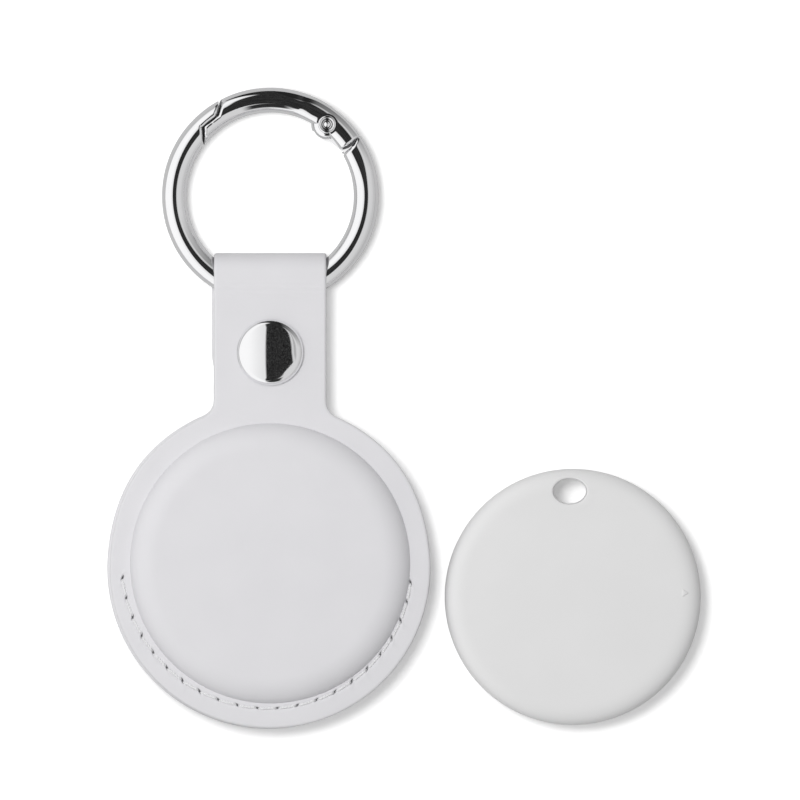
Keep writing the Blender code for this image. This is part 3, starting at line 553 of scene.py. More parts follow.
def resample(points, step, seamStep=None):
    # even steps along a line, finer in front of the pocket's middle, where the seam is
    line = np.array(points, float)
    steps = np.where(line[1:, 1] < 2.0, seamStep or step, step)
    lengths = np.concatenate(([0.0], np.cumsum(np.linalg.norm(np.diff(line, axis=0), axis=1) / steps)))
    count = max(2, int(round(lengths[-1])) + 1)
    at = np.linspace(0.0, lengths[-1], count)
    return np.stack([np.interp(at, lengths, line[:, 0]), np.interp(at, lengths, line[:, 1])], axis=1)


def turnedMesh(name, profile, centre, steps=128, sharp=35.0):
    # profile is an outline of (radius, height); it begins and ends on the axis, or is closed
    points, faces, rows = [], [], []
    for r, z in profile:
        first, spots = len(points), steps if r > 0 else 1
        for i in range(spots):
            a = 2 * math.pi * i / steps
            points.append((centre[0] + r * math.cos(a), centre[1] + r * math.sin(a), centre[2] + z))
        rows.append(list(range(first, first + steps)) if r > 0 else [first] * steps)
    pairs = list(zip(rows, rows[1:]))
    if profile[0][0] > 0:
        pairs.append((rows[-1], rows[0]))
    for lower, upper in pairs:
        for i in range(steps):
            j = (i + 1) % steps
            corners = list(dict.fromkeys((lower[i], lower[j], upper[j], upper[i])))
            if len(corners) > 2:
                faces.append(corners)
    return meshFrom(name, points, faces, sharp)


def turnedPiece(name, profile, centre, steps, sharp, label, *place):
    settle(makeObject(name, turnedMesh(name, profile, centre, steps, sharp), label), *place)


# Leather goods: panels with a round part, a strap that leads off it, and rounded edges
panels = {
    "thickness": 0.9,
    "edgeRound": 0.42,
    "edgeRows": 12,
    "step": 0.3,
    "seamStep": 0.115,
    "columnStep": 0.35,
    "rowStep": 0.3,
    "joinY": 26.5,
    "discRadius": 24.4,
    "backRadius": 24.5,
    "shoulderLift": 0.7,
    "shoulderFade": 0.1,
    "shoulderRise": 0.65,
    "fillet": 2.6,
    "strapHalf": 8.55,
    "tabHalf": 8.3,
    "backShift": -0.3,
    "tabEnd": 38.0,
    "backBend": (-1.0, 8.0),
    "tailBendEnd": 41.6,
    "bossY": 0.7,
    "flatRadius": 17.3,
    "footRadius": 21.3,
    "bossSweep": math.radians(75),
    "backRimLow": 3.9,
    "frontRimLow": 5.05,
    "bossTop": 8.7,
    "crown": 0.14,
    "neckFlatEnd": 38.5,
    "slopeEnd": 42.0,
    "foldY": 44.92,
    "foldZ": 3.0,
    "foldInner": 2.1,
    "foldSkive": 0.13,
    "tailLift": 1.0,
    "tailShift": -0.36,
    "fineBend": (5.0, 0.08, 44),
    "seamRows": (0.75, 0.7, 15),
    "creases": ((42.2, 0.035, 0.22), (43.1, 0.022, 0.16), (41.4, 0.014, 0.2)),
}


def panelEdge(radius, half, joinY, shift):
    # right edge of neck and disc from the join row down to the foot of the disc, then the left one up again
    p = panels
    shoulder = radius + p["shoulderLift"]
    filletX = half + p["fillet"]
    filletY = math.sqrt((shoulder + p["fillet"]) ** 2 - filletX**2)
    meeting = math.atan2(filletY, filletX)
    disc = []
    for i in range(400):
        angle = -math.pi / 2 + (meeting + math.pi / 2) * i / 400
        lift = p["shoulderLift"] * eased((math.sin(angle) - p["shoulderFade"]) / p["shoulderRise"])
        disc.append(((radius + lift) * math.cos(angle), (radius + lift) * math.sin(angle)))
    bend = arc((filletX, filletY), p["fillet"], math.pi + meeting, math.pi, 24)
    right = disc + bend + [(half, joinY)]
    right = resample(right, p["step"], p["seamStep"])[::-1]
    left = right[::-1][1:] * np.array((-1.0, 1.0))
    return np.concatenate((right, left)) + np.array((shift, 0.0))


def roundEndEdge(half, centreY, joinY):
    points = [(half, joinY)] + arc((0.0, centreY), half, 0.0, -math.pi, 64) + [(-half, joinY)]
    return resample(points, panels["step"])


def inwardNormals(edge):
    along = np.gradient(edge, axis=0)
    along[0], along[-1] = (0.0, -1.0), (0.0, 1.0)
    along /= np.linalg.norm(along, axis=1)[:, None]
    return np.stack([along[:, 1], -along[:, 0]], axis=1)


def edgeProfile():
    # (inset, height) round the rounded edge, from the upper face to the lower one
    half = panels["thickness"] / 2
    turns = [math.pi / 2 - math.pi * i / panels["edgeRows"] for i in range(panels["edgeRows"] + 1)]
    return [(panels["edgeRound"] * (1 - math.cos(a)), half + half * math.sin(a)) for a in turns]


def seamRadius(share):
    return seam["startRadius"] + (seam["endRadius"] - seam["startRadius"]) * share


def rimRows(rays, far, near, shares):
    # distances from the middle at which the rows of the rim lie; fine rows keep beside the seam
    if shares != "seam":
        return [far + (near - far) * share for share in shares]
    angle = np.mod(np.arctan2(rays[:, 1], rays[:, 0]), 2 * np.pi)
    middle = seamRadius(np.clip((angle - seam["start"]) / (seam["end"] - seam["start"]), 0, 1))
    before, beyond, count = panels["seamRows"]
    outside = np.minimum(middle + before, far - 0.25)
    inside = np.maximum(middle - beyond, near + 0.06)
    rows = [far + (outside - far) * share for share in (0.5, 1.0)]
    rows += [outside + (inside - outside) * i / count for i in range(1, count + 1)]
    return rows + [inside + (near - inside) * share for share in (0.5, 1.0)]


def buildPanel(edge, centre, upper, lower, rimLow, path, capEnd):
    # upper and lower give (profile, rim shares, lined or not); path gives a place for (station, height)
    points, marks, faces, lining = [], [], [], []
    middle = np.array(centre)

    def add(x, y, z, mark=0.0):
        points.append((x, y, z))
        marks.append(mark)
        return len(points) - 1

    def join(first, second, closed=True, flag=0):
        quads = band(first, second, closed)
        faces.extend(quads)
        lining.extend([flag] * len(quads))

    def fill(row, shape, rimZ):
        profile, shares, flag = shape
        across = [add(x, joinY, rimZ) for x in acrossX]
        last = row + across
        rays = np.array([points[i] for i in last])[:, :2] - middle
        far = np.linalg.norm(rays, axis=1)
        rays /= far[:, None]
        reaches = [(reach, rimZ) for reach in rimRows(rays, far, np.full_like(far, profile[-1][0]), shares)]
        reaches += [(np.full_like(far, r), z) for r, z in reversed(profile[1:])]
        for reach, z in reaches:
            ring = [add(x, y, z) for x, y in middle + rays * reach[:, None]]
            join(last, ring, True, flag)
            last = ring
        tip = add(*centre, profile[0][1])
        faces.extend((a, tip, b) for a, b in zip(last, last[1:] + last[:1]))
        lining.extend([flag] * len(last))
        return across

    normals = inwardNormals(edge)
    profile = edgeProfile()
    half = len(profile) // 2
    rows = []
    for k, (inset, h) in enumerate(profile):
        mark = 1.0 - abs(k - half) / half
        rows.append([add(x, y, rimLow + h, mark) for x, y in edge + normals * inset])
    for first, second in zip(rows, rows[1:]):
        join(first, second, False)
    joinY, leftX = edge[0][1], points[rows[0][-1]][0]
    width = points[rows[0][0]][0] - leftX
    columns = int(round(width / panels["columnStep"]))
    acrossX = [leftX + width * i / columns for i in range(1, columns)]

    thickness = panels["thickness"]
    acrossUp = fill(rows[0], upper, rimLow + thickness)
    acrossLow = fill(rows[-1], lower, rimLow)
    loop = [row[0] for row in rows] + acrossLow[::-1] + [row[-1] for row in rows[::-1]] + acrossUp
    section = [(points[i][0], points[i][2] - rimLow, marks[i]) for i in loop]
    below = range(len(rows) - 1, len(rows) + len(acrossLow))
    flags = [lower[2] if i in below else upper[2] if i >= below[-1] + len(rows) else 0 for i in range(len(loop))]
    for station in path["stations"]:
        following = [add(x, *path["place"](station, h), mark) for x, h, mark in section]
        join(loop, following)
        lining[-len(loop):] = flags
        loop = following
    for inset, h in profile[1 : half + 1] if capEnd else ():
        held = [path["place"](path["end"] - inset, min(max(height, thickness - h), h)) for _, height, _ in section]
        following = [add(x, *place, 1.0) for (x, _, _), place in zip(section, held)]
        join(loop, following)
        loop = following
    faces.append(tuple(loop))
    lining.append(0)
    return np.array(points), np.array(marks), faces, lining


def bossShape(rim, top, rings):
    # outer face of the boss, from its middle to its sharp foot
    p = panels
    sweep = p["bossSweep"]
    reach = (p["footRadius"] - p["flatRadius"]) / math.sin(sweep)
    drop = (top - rim) / (1 - math.cos(sweep))
    crown = p["crown"] * (1 if top > rim else -1)
    flat = [(p["flatRadius"] * s, top - crown * s**2) for s in (0.0, 0.2, 0.4, 0.6, 0.75, 0.87, 0.95)]
    curve = []
    for i in range(rings + 1):
        a = sweep * i / rings
        fall = 1 - math.cos(a)
        fade = fall / (1 - math.cos(sweep))
        curve.append((p["flatRadius"] + reach * math.sin(a), top - crown * (1 - fade) - drop * fall))
    return flat + curve


def offsetShape(shape, distance, rim):
    # the inner face, a leather's thickness inside the outer one
    line = np.array(shape)
    along = np.gradient(line, axis=0)
    along /= np.linalg.norm(along, axis=1)[:, None]
    inside = line + np.stack([along[:, 1], -along[:, 0]], axis=1) * distance
    inside[0][0] = 0.0
    slope = inside[-1] - inside[-2]
    inside = np.concatenate((inside, [inside[-1] + slope * (rim - inside[-1][1]) / slope[1]]))
    return [tuple(p) for p in inside]


# Stitching
seam = {
    "holes": 22,
    "start": math.radians(185.6),
    "end": math.radians(352.2),
    "startRadius": 22.55,
    "endRadius": 21.55,
    "threadRadius": 0.17,
    "threadRise": 0.0,
    "threadDive": 0.6,
    "threadTurns": 3.5,
    "threadSlant": math.radians(2),
    "holeGap": 0.5,
    "threadRows": 41,
    "threadSides": 16,
    "plyDepth": 0.24,
    "plunge": 9.0,
    "grooveDepth": 0.09,
    "grooveWidth": 0.27,
    "slitDepth": 0.34,
    "slitShort": 0.34,
    "slitLong": 0.5,
    "slitHalfWidth": 0.15,
    "slitTurn": math.radians(28),
    "turnWithin": 0.26,
    "growsFrom": (0.15, 0.35),
    "unevenTurn": 0.16,
    "lip": 0.055,
    "lipPlace": (2.0, 0.8),
    "swell": 0.03,
    "swellPlace": (0.7, 0.3),
    "endFade": 0.01,
    "holeShade": (1.5, 0.3),
}


def pressSeam(points, inward, chosen):
    # draws the leather down under the thread and cuts the slanted slits of the awl, and gives back where the slits are
    # painted with shade
    x, y = points[:, 0], points[:, 1] - panels["bossY"]
    sweep, gaps = seam["end"] - seam["start"], seam["holes"] - 1
    share = (np.mod(np.arctan2(y, x), 2 * np.pi) - seam["start"]) / sweep
    side = np.hypot(x, y) - seamRadius(share)
    fade = seam["endFade"]
    inSeam = np.clip((share + fade) / fade, 0, 1) * np.clip((1 + fade - share) / fade, 0, 1)
    groove = seam["grooveDepth"] * np.exp(-((side / seam["grooveWidth"]) ** 2)) * inSeam
    middle, width = seam["swellPlace"]
    swell = seam["swell"] * np.exp(-(((np.abs(side) - middle) / width) ** 2)) * inSeam
    nearest = np.clip(np.round(share * gaps), 0, gaps) / gaps
    angle, radius = seam["start"] + sweep * nearest, seamRadius(nearest)
    fromX, fromY = x - radius * np.cos(angle), y - radius * np.sin(angle)
    around = angle - 1.5 * np.pi  # from the lowest hole, where the slits are shortest
    turn = around + seam["slitTurn"] * np.clip(around / seam["turnWithin"], -1, 1)
    turn += seam["unevenTurn"] * np.sin(37.0 * nearest)
    first, reach = seam["growsFrom"]
    grown = np.clip((np.abs(around) - first) / reach, 0, 1)
    halfLength = seam["slitShort"] + (seam["slitLong"] - seam["slitShort"]) * grown
    along = fromX * np.cos(turn) + fromY * np.sin(turn)
    across = fromY * np.cos(turn) - fromX * np.sin(turn)
    distance = np.hypot(along / halfLength, across / seam["slitHalfWidth"])
    slit = np.exp(-(distance**3))
    middle, width = seam["lipPlace"]
    lip = seam["lip"] * np.exp(-(((distance - middle) / width) ** 2))
    points[:, 2] += inward * (groove - swell - lip + seam["slitDepth"] * slit) * chosen
    # the slits' darkness is painted shade
    strength, less = seam["holeShade"]
    return np.clip(slit * strength - less, 0, 1) * chosen


def finishPanel(name, built, holes):
    points, marks, faces, lining = built
    mesh = meshFrom(name, points.tolist(), faces, sharp=50.0)
    # the hole attribute carries the painted shade of the needle slits
    for label, values in (("edge", marks), ("hole", holes)):
        layer = mesh.attributes.new(label, "FLOAT", "POINT")
        layer.data.foreach_set("value", np.asarray(values, np.float32))
    mesh.polygons.foreach_set("material_index", np.array(lining, np.int32))
    return makeObject(name, mesh, "smoothLeather", "suedeLining")


def neckPath(station, h):
    # a place at a height above the strap's inner face, from the disc over the fold
    p = panels
    if station <= p["foldY"]:
        t = (station - p["neckFlatEnd"]) / (p["slopeEnd"] - p["neckFlatEnd"])
        top = p["foldZ"] + p["foldInner"]
        z = p["frontRimLow"] + (top - p["frontRimLow"]) * eased(t)
        z -= sum(deep * math.exp(-(((station - at) / wide) ** 2)) for at, deep, wide in p["creases"])
        return station, z + h
    angle = math.pi / 2 - (station - p["foldY"]) / (p["foldInner"] + p["thickness"])
    # the leather is pared inside the bend, so that the ring's thickest part passes
    skive = p["foldSkive"] * (1 - (abs(angle) / (math.pi / 2)) ** 4)
    reach = p["foldInner"] + skive + h * (1 - skive / p["thickness"])
    return p["foldY"] + reach * math.cos(angle), p["foldZ"] + reach * math.sin(angle)


def tailPath(station, h):
    p = panels
    t = (station - p["neckFlatEnd"]) / (p["slopeEnd"] - p["neckFlatEnd"])
    return station, p["tailLift"] * (1 - eased(t)) + h


def stationsTo(first, last):
    count = max(1, int(round(abs(last - first) / panels["rowStep"])))
    return [first + (last - first) * i / count for i in range(1, count + 1)]


def makeFront():
    p = panels
    rim = p["frontRimLow"] + p["thickness"]
    edge = panelEdge(p["discRadius"], p["strapHalf"], p["joinY"], 0.0)
    outer = bossShape(rim, p["bossTop"], 16)
    inner = offsetShape(bossShape(rim, p["bossTop"], 8), p["thickness"], p["frontRimLow"])
    before, step, count = p["fineBend"]  # fine rows where the creases are
    start = p["foldY"] - before
    stations = stationsTo(p["joinY"], start) + [start + step * i for i in range(1, count + 1)]
    stations += stationsTo(stations[-1], p["foldY"])
    stations += stationsTo(p["foldY"], p["foldY"] + math.pi * (p["foldInner"] + p["thickness"]))
    built = buildPanel(edge, (0.0, p["bossY"]), (outer, "seam", 0), (inner, (0.3, 0.6, 1.0), 1),
                       p["frontRimLow"], {"stations": stations, "place": neckPath}, False)
    points = built[0]
    chosen = (points[:, 2] > rim - 0.3) & (points[:, 1] < 10) & (points[:, 2] < rim + 0.1)
    piece = finishPanel("frontLeather", built, pressSeam(points, -1.0, chosen))
    settle(piece, "leather", "case", "front_panel")


def makeBack():
    # one skin over the sewn half and the free flap
    p = panels
    low = p["backRimLow"]
    edge = panelEdge(p["backRadius"], p["tabHalf"], p["joinY"], p["backShift"])
    outer = bossShape(low, 0.0, 12)
    inner = offsetShape(bossShape(low, 0.0, 8), -p["thickness"], low + p["thickness"])
    path = {"stations": stationsTo(p["joinY"], p["tabEnd"] - p["edgeRound"]),
            "place": lambda s, h: (s, low + h), "end": p["tabEnd"]}
    built = buildPanel(edge, (0.0, p["bossY"]), (inner, (0.3, 0.6, 1.0), 1), (outer, "seam", 0), low, path, True)
    points = built[0]
    chosen = (points[:, 2] < low + 0.3) & (points[:, 1] < 10) & (points[:, 2] > low - 0.1)
    piece = finishPanel("backLeather", built, pressSeam(points, 1.0, chosen))
    carve(piece, drum(snap["tabHole"], (0.0, snap["y"]), low - 0.9, low + p["thickness"] + 0.8))
    smooth(piece.data, 50)
    settle(piece, "leather", None, "back_panel", "back_flap")
    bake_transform(piece)


def makeTail():
    p = panels
    rows = (0.25, 0.5, 0.75, 1.0)
    edge = roundEndEdge(p["strapHalf"], snap["y"], snap["y"] + 1.0) + np.array((p["tailShift"], 0.0))
    flat = [(r, p["tailLift"]) for r in (0.0, 2.0, 4.0)]
    top = [(r, z + p["thickness"]) for r, z in flat]
    path = {"stations": stationsTo(snap["y"] + 1.0, p["foldY"]), "place": tailPath}
    built = buildPanel(edge, (0.0, snap["y"]), (top, rows, 1), (flat, rows, 0), p["tailLift"], path, False)
    piece = finishPanel("strapTail", built, np.zeros(len(built[0])))
    settle(piece, "leather", None, "strap_tail")
    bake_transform(piece)


def carve(piece, cutter, operation="DIFFERENCE", shaded=False):
    # a shaded cut gives its walls the piece's second material, a dark steel that paints shade into the gaps and seats
    if shaded:
        for label in ("polishedChrome", "paintedShadeSteel"):
            cutter.data.materials.append(finish[label])
        cutter.data.polygons.foreach_set("material_index", [1] * len(cutter.data.polygons))
    modifier = piece.modifiers.new("cut", "BOOLEAN")
    modifier.operation = operation
    modifier.object = cutter
    modifier.solver = "EXACT"
    applyModifiers(piece)
    mesh = cutter.data
    bpy.data.objects.remove(cutter)
    bpy.data.meshes.remove(mesh)


def drum(radius, centre, low, high, steps=96, foot=None):
    profile = [(0, low), (foot or radius, low), (radius, high), (0, high)]
    return makeObject("cutter", turnedMesh("cutter", profile, (*centre, 0.0), steps))


def prism(outline, low, high, upper=None):
    count = len(outline)
    points = [(x, y, low) for x, y in outline] + [(x, y, high) for x, y in upper or outline]
    rows = list(range(count)), list(range(count, 2 * count))
    return makeObject("cutter", meshFrom("cutter", points, [tuple(rows[0]), tuple(rows[1])] + band(*rows)))


# Snap fastener; the turned profiles are (radius, height) above the table
snap = {
    "y": 32.8,
    "capLow": 6.15,
    "domeRadius": 18.3,
    "domeEdge": 4.2,
    "rimRadius": 5.08,
    "rimSoft": 0.035,
    "seat": 0.12,
    "capTilt": math.radians(3.6),
    "tiltRise": 0.7,
    "shank": 1.15,
    "tabHole": 3.4,
    "grip": 2.02,
    "stud": [(0, 2.3), (1.2, 2.3), (1.45, 2.36), (1.62, 2.46), (1.7, 2.55), (1.66, 2.68), (1.5, 2.78),
             (1.4, 2.86), (1.4, 4.0), (1.46, 4.14), (1.62, 4.24), (2.7, 4.25), (2.88, 4.3), (2.98, 4.4),
             (3.0, 4.55), (2.98, 4.7), (2.88, 4.8), (2.7, 4.85), (0, 4.85)],
    "socket": [(4.55, 2.1), (4.66, 2.14), (4.7, 2.25), (4.7, 2.45), (4.62, 2.6), (4.4, 2.68), (3.7, 2.68),
               (3.55, 2.74), (3.4, 2.86), (3.2, 2.9)],
    "backCap": [(0, 0.0), (3.3, 0.0), (3.9, 0.05), (4.5, 0.18), (4.9, 0.36), (5.05, 0.5), (5.08, 0.6),
                (5.03, 0.7), (4.92, 0.75)],
}


def makeSnap():
    place = (0.0, snap["y"], 0.0)
    low, edge, radius, shank = snap["capLow"], snap["domeEdge"], snap["domeRadius"], snap["shank"]
    start = math.asin(edge / radius)
    seat, rim, soft = snap["seat"], snap["rimRadius"], snap["rimSoft"]
    roll = (rim - edge) / (1 - math.sin(start))
    waist = low + seat
    side = [(rim - seat, low), (rim - soft, low + soft)]
    for i in range(21):
        a = math.pi / 2 + (start - math.pi / 2) * i / 20
        side.append((edge + roll * (math.sin(a) - math.sin(start)), waist + roll * math.cos(a)))
    dome = []
    for i in range(1, 25):
        r = edge * (1 - i / 24)
        dome.append((r, side[-1][1] + math.sqrt(radius**2 - r**2) - radius * math.cos(start)))
    rivet = [(0, panels["frontRimLow"]), (shank, panels["frontRimLow"]), (shank, low)]
    mesh = turnedMesh("snapDome", rivet + side + dome, place, 160, sharp=40.0)
    for corner in mesh.vertices:
        share = eased((corner.co.z / mm - waist) / snap["tiltRise"])  # the dome sits a little askew on its rim
        corner.co.z += math.tan(snap["capTilt"]) * corner.co.x * share
    settle(makeObject("snapDome", mesh, "polishedChrome"), "chrome", "case", "snap_cap")
    turnedPiece("snapPost", snap["stud"], place, 96, 35.0, "polishedChrome", "chrome", "case", "snap_stud")
    r = snap["grip"]
    mouth = [(r + 0.25, 2.9), (r + 0.06, 2.86), (r, 2.76), (r, 2.7)]
    groove = [(r + 0.7, 2.7), (r + 0.7, 2.3), (r, 2.3), (r, 2.16)]
    socket = [(r + 0.06, 2.1)] + snap["socket"] + mouth + groove
    turnedPiece("snapSocket", socket, place, 96, 35.0, "springSteel", "steel", "strap", "snap_socket")
    backCap = snap["backCap"] + [(shank, 0.75), (shank, 2.1), (0, 2.1)]
    turnedPiece("snapBackCap", backCap, place, 128, 40.0, "polishedChrome", "chrome", "strap", "snap_back_cap")


makeFront()
print("front leather made")
makeBack()
print("back leather made")
makeTail()
makeSnap()
print("strap and snap made")


# Thread: one stitch, repeated along the seam by nodes
def makeStitchTree():
    tree = bpy.data.node_groups.new("seamStitches", "GeometryNodeTree")
    tree.interface.new_socket("Geometry", in_out="OUTPUT", socket_type="NodeSocketGeometry")
    kinds = {"Count": "NodeSocketInt", "Material": "NodeSocketMaterial"}
    for label in ("Count", "Start Angle", "End Angle", "Start Radius", "End Radius", "Centre Y", "Height",
                  "Stitch Length", "Thread Radius", "Rise", "Dive", "Side", "Turns", "Slant", "Material"):
        tree.interface.new_socket(label, in_out="INPUT", socket_type=kinds.get(label, "NodeSocketFloat"))
    entry = addNode(tree, "NodeGroupInput").outputs

    def made(kind, inputs=None, **settings):
        return addNode(tree, kind, inputs, **settings).outputs[0]

    # one stitch: a two-ply thread that rises out of one hole and dives into the next
    half = times(entry["Stitch Length"], 0.5)
    near, far = (made("ShaderNodeCombineXYZ", {0: x}) for x in (times(half, -1.0), half))
    line = made("GeometryNodeCurvePrimitiveLine", {"Start": near, "End": far})
    fine = made("GeometryNodeResampleCurve", {"Curve": line, "Count": seam["threadRows"]})
    along = made("GeometryNodeSplineParameter")
    plunge = calc("POWER", calc("ABSOLUTE", timesPlus(along, 2.0, -1.0)), seam["plunge"])
    bow = times(minus(entry["Rise"], times(plunge, plus(entry["Rise"], entry["Dive"]))), entry["Side"])
    shifted = made("GeometryNodeSetPosition", {"Geometry": fine, "Offset": made("ShaderNodeCombineXYZ", {2: bow})})
    tilt = times(times(along, entry["Turns"]), 2 * math.pi)
    turned = made("GeometryNodeSetCurveTilt", {"Curve": shifted, "Tilt": tilt})
    size = {"Resolution": seam["threadSides"], "Radius": entry["Thread Radius"]}
    circle = made("GeometryNodeCurvePrimitiveCircle", size)
    lobes = times(calc("COSINE", times(made("GeometryNodeSplineParameter"), 4 * math.pi)), seam["plyDepth"])
    push = made("ShaderNodeVectorMath", {0: made("GeometryNodeInputPosition"), "Scale": lobes}, operation="SCALE")
    ply = made("GeometryNodeSetPosition", {"Geometry": circle, "Offset": push})
    tube = made("GeometryNodeCurveToMesh", {"Curve": turned, "Profile Curve": ply, "Fill Caps": True})

    # the places between the needle holes
    share = over(plus(made("GeometryNodeInputIndex"), 0.5), entry["Count"])
    angle = between(share, entry["Start Angle"], entry["End Angle"])
    radius = between(share, entry["Start Radius"], entry["End Radius"])
    x = times(radius, calc("COSINE", angle))
    y = timesPlus(radius, calc("SINE", angle), entry["Centre Y"])
    spot = made("ShaderNodeCombineXYZ", {0: x, 1: y, 2: entry["Height"]})
    spots = made("GeometryNodePoints", {"Count": entry["Count"], "Position": spot})
    heading = plus(angle, plus(entry["Slant"], math.pi / 2))
    rotation = made("FunctionNodeEulerToRotation", {0: made("ShaderNodeCombineXYZ", {2: heading})})
    placed = made("GeometryNodeInstanceOnPoints", {"Points": spots, "Instance": tube, "Rotation": rotation})
    real = made("GeometryNodeSetShadeSmooth", {0: made("GeometryNodeRealizeInstances", {0: placed})})
    finished = made("GeometryNodeSetMaterial", {"Geometry": real, "Material": entry["Material"]})
    addNode(tree, "NodeGroupOutput", {0: finished})
    return tree


def runTree(name, tree, values):
    host = makeObject(name, bpy.data.meshes.new(name))
    modifier = host.modifiers.new("nodes", "NODES")
    modifier.node_group = tree
    for item in tree.interface.items_tree:
        if item.item_type == "SOCKET" and item.in_out == "INPUT":
            modifier[item.identifier] = values[item.name]
    applyModifiers(host)
    return host


def makeThreads():
    tree = makeStitchTree()
    gaps = seam["holes"] - 1
    length = seamRadius(0.5) * (seam["end"] - seam["start"]) / gaps
    common = {
        "Count": gaps, "Start Angle": seam["start"], "End Angle": seam["end"],
        "Start Radius": seam["startRadius"] * mm, "End Radius": seam["endRadius"] * mm,
        "Centre Y": panels["bossY"] * mm, "Stitch Length": (length - seam["holeGap"]) * mm,
        "Thread Radius": seam["threadRadius"] * mm, "Rise": seam["threadRise"] * mm,
        "Dive": seam["threadDive"] * mm, "Turns": seam["threadTurns"], "Slant": seam["threadSlant"],
        "Material": finish["waxedThread"],
    }
    rim = panels["frontRimLow"] + panels["thickness"]
    for name, node, height, side in (("frontStitches", "upper_thread", rim, 1.0),
                                     ("backStitches", "bobbin_thread", panels["backRimLow"], -1.0)):
        piece = runTree(name, tree, {**common, "Height": height * mm, "Side": side})
        settle(piece, "thread", "case", node)


makeThreads()
print("stitching made")


# Spring-gate ring
ring = {
    "centre": jointPlace["ring_turn"],
    "inner": 12.7,
    "wire": 1.9,
    "pin": jointPlace["gate_open"][:2],
    "pinAngle": math.radians(51.5),
    "eyeRadius": 2.42,
    "eyeHalf": 1.65,
    "shoulderCut": 5.2,
    "shoulderFoot": 4.66,
    "gateTail": 4.42,
    "tailFoot": 4.0,
    "gateEnd": math.radians(-54.4),
    "slotRelief": 1.0,
    "tongueRadius": 1.7,
    "tongueHalf": 0.6,
    "tongueRoot": math.radians(26),
    "tongueWidth": 1.1,
    "pinRadius": 0.7,
    "headRadius": 1.38,
    "headProfile": ((0.0, 0.02), (0.12, -0.02), (0.42, -0.13), (0.62, -0.15), (0.82, -0.05), (0.93, 0.14),
                    (1.0, 0.24), (1.1, 0.29), (1.2, 0.27)),
    "spotFace": 1.62,
    "spotDepth": 0.1,
    "noseOuter": math.radians(120.0),
    "noseStepOut": math.radians(124.9),
    "noseStepIn": math.radians(135.7),
    "noseInner": math.radians(145.1),
    "lap": 15.0,
    "noseGap": 0.33,
    "noseLean": 0.13,
    "fit": 0.2,
    "section": 72,
    "turnStep": 1.1,
    "fineStep": 0.3,
    "fineTurns": ((20, 38), (117, 149)),
    "roundness": 2.15,
    "flatness": 0.6,
    "flatTurns": (4, 22, 72, 9),
    "inCut": 0.05,
    "edgeBevel": 0.07,
    "endRound": 0.38,
}


def polar(distance, angle):
    return ring["centre"][0] + distance * math.cos(angle), ring["centre"][1] + distance * math.sin(angle)


def noseLine(shift):
    middle, outer = ring["inner"] + ring["wire"], ring["inner"] + 2 * ring["wire"]
    turn, lap, wire = shift / middle, ring["lap"] - shift, ring["wire"]
    tiltOut = (ring["noseStepOut"] - ring["noseOuter"]) / (outer - ring["lap"])
    tiltIn = (ring["noseInner"] - ring["noseStepIn"]) / (ring["lap"] - ring["inner"])
    return [
        polar(outer + wire, ring["noseOuter"] - turn - tiltOut * wire),
        polar(lap, ring["noseStepOut"] - turn),
        polar(lap, ring["noseStepIn"] - turn),
        polar(ring["inner"] - wire, ring["noseInner"] - turn + tiltIn * wire),
    ]


def ringTorus(name, lines, circles):
    # the wire, drawn in beside the lines and circles where it will be cut, so that its ends are rounded
    centre, middle, r, soft = ring["centre"], ring["inner"] + ring["wire"], ring["wire"], ring["endRound"]
    turns, a = [], 0.0
    while a < 2 * math.pi - 1e-6:
        turns.append(a)
        fine = any(math.radians(first) < a < math.radians(last) for first, last in ring["fineTurns"])
        a += math.radians(ring["fineStep"] if fine else ring["turnStep"])
    turn, degrees = np.array(turns)[:, None], np.degrees(turns)
    first, rise, last, fall = ring["flatTurns"]  # flatter beside the pivot
    flat = np.array([[eased((d - first) / rise) * eased((last - d) / fall)] for d in degrees])
    power = 2 / (ring["roundness"] + ring["flatness"] * flat)
    b = 2 * np.pi * (np.arange(ring["section"]) + 0.5)[None, :] / ring["section"]
    out, up = (np.sign(side) * np.abs(side) ** power for side in (np.cos(b), np.sin(b)))

    def placed(inset):
        reach = middle + (r - inset) * out
        return centre[0] + reach * np.cos(turn), centre[1] + reach * np.sin(turn)

    x, y = placed(0.0)
    away = np.full_like(x, 99.0)
    for upper, lower in lines:
        for line, part in ((upper, up > 0), (lower, up <= 0)):
            for (x0, y0), (x1, y1) in zip(line, line[1:]):
                run, rise = x1 - x0, y1 - y0
                share = np.clip(((x - x0) * run + (y - y0) * rise) / (run**2 + rise**2), 0, 1)
                side = np.hypot(x - x0 - share * run, y - y0 - share * rise)
                away = np.where(part, np.minimum(away, side), away)
    for (cx, cy), radius in circles:
        away = np.minimum(away, np.abs(np.hypot(x - cx, y - cy) - radius))
    inset = soft - np.sqrt(np.maximum(soft**2 - np.maximum(soft - away, 0.0) ** 2, 0.0))
    points = np.stack([*placed(inset), centre[2] + (r - inset) * up], axis=2).reshape(-1, 3).tolist()
    rows = np.arange(len(points)).reshape(len(degrees), -1).tolist()
    faces = [quad for pair in zip(rows, rows[1:] + rows[:1]) for quad in band(*pair)]
    # the second slot is the dark steel that paints shade on the walls of the shaded cuts
    return makeObject(name, meshFrom(name, points, faces), "polishedChrome", "paintedShadeSteel")


def gateSector(shift, start, steps=40):
    outside = ring["inner"] + 3 * ring["wire"]
    inside = ring["inner"] - ring["wire"]
    outer = [polar(outside, start + (ring["noseOuter"] - start) * i / steps) for i in range(steps)]
    inner = [polar(inside, ring["noseStepIn"] + (start - ring["noseStepIn"]) * i / steps) for i in range(1, steps + 1)]
    return outer + noseLine(shift) + inner


def softenEdges(piece):
    modifier = piece.modifiers.new("edges", "BEVEL")
    modifier.width = ring["edgeBevel"] * mm
    modifier.segments = 2
    modifier.material = 0
    modifier.limit_method = "ANGLE"
    modifier.angle_limit = math.radians(35)
    modifier.use_clamp_overlap = True
    applyModifiers(piece)
    smooth(piece.data, 32)


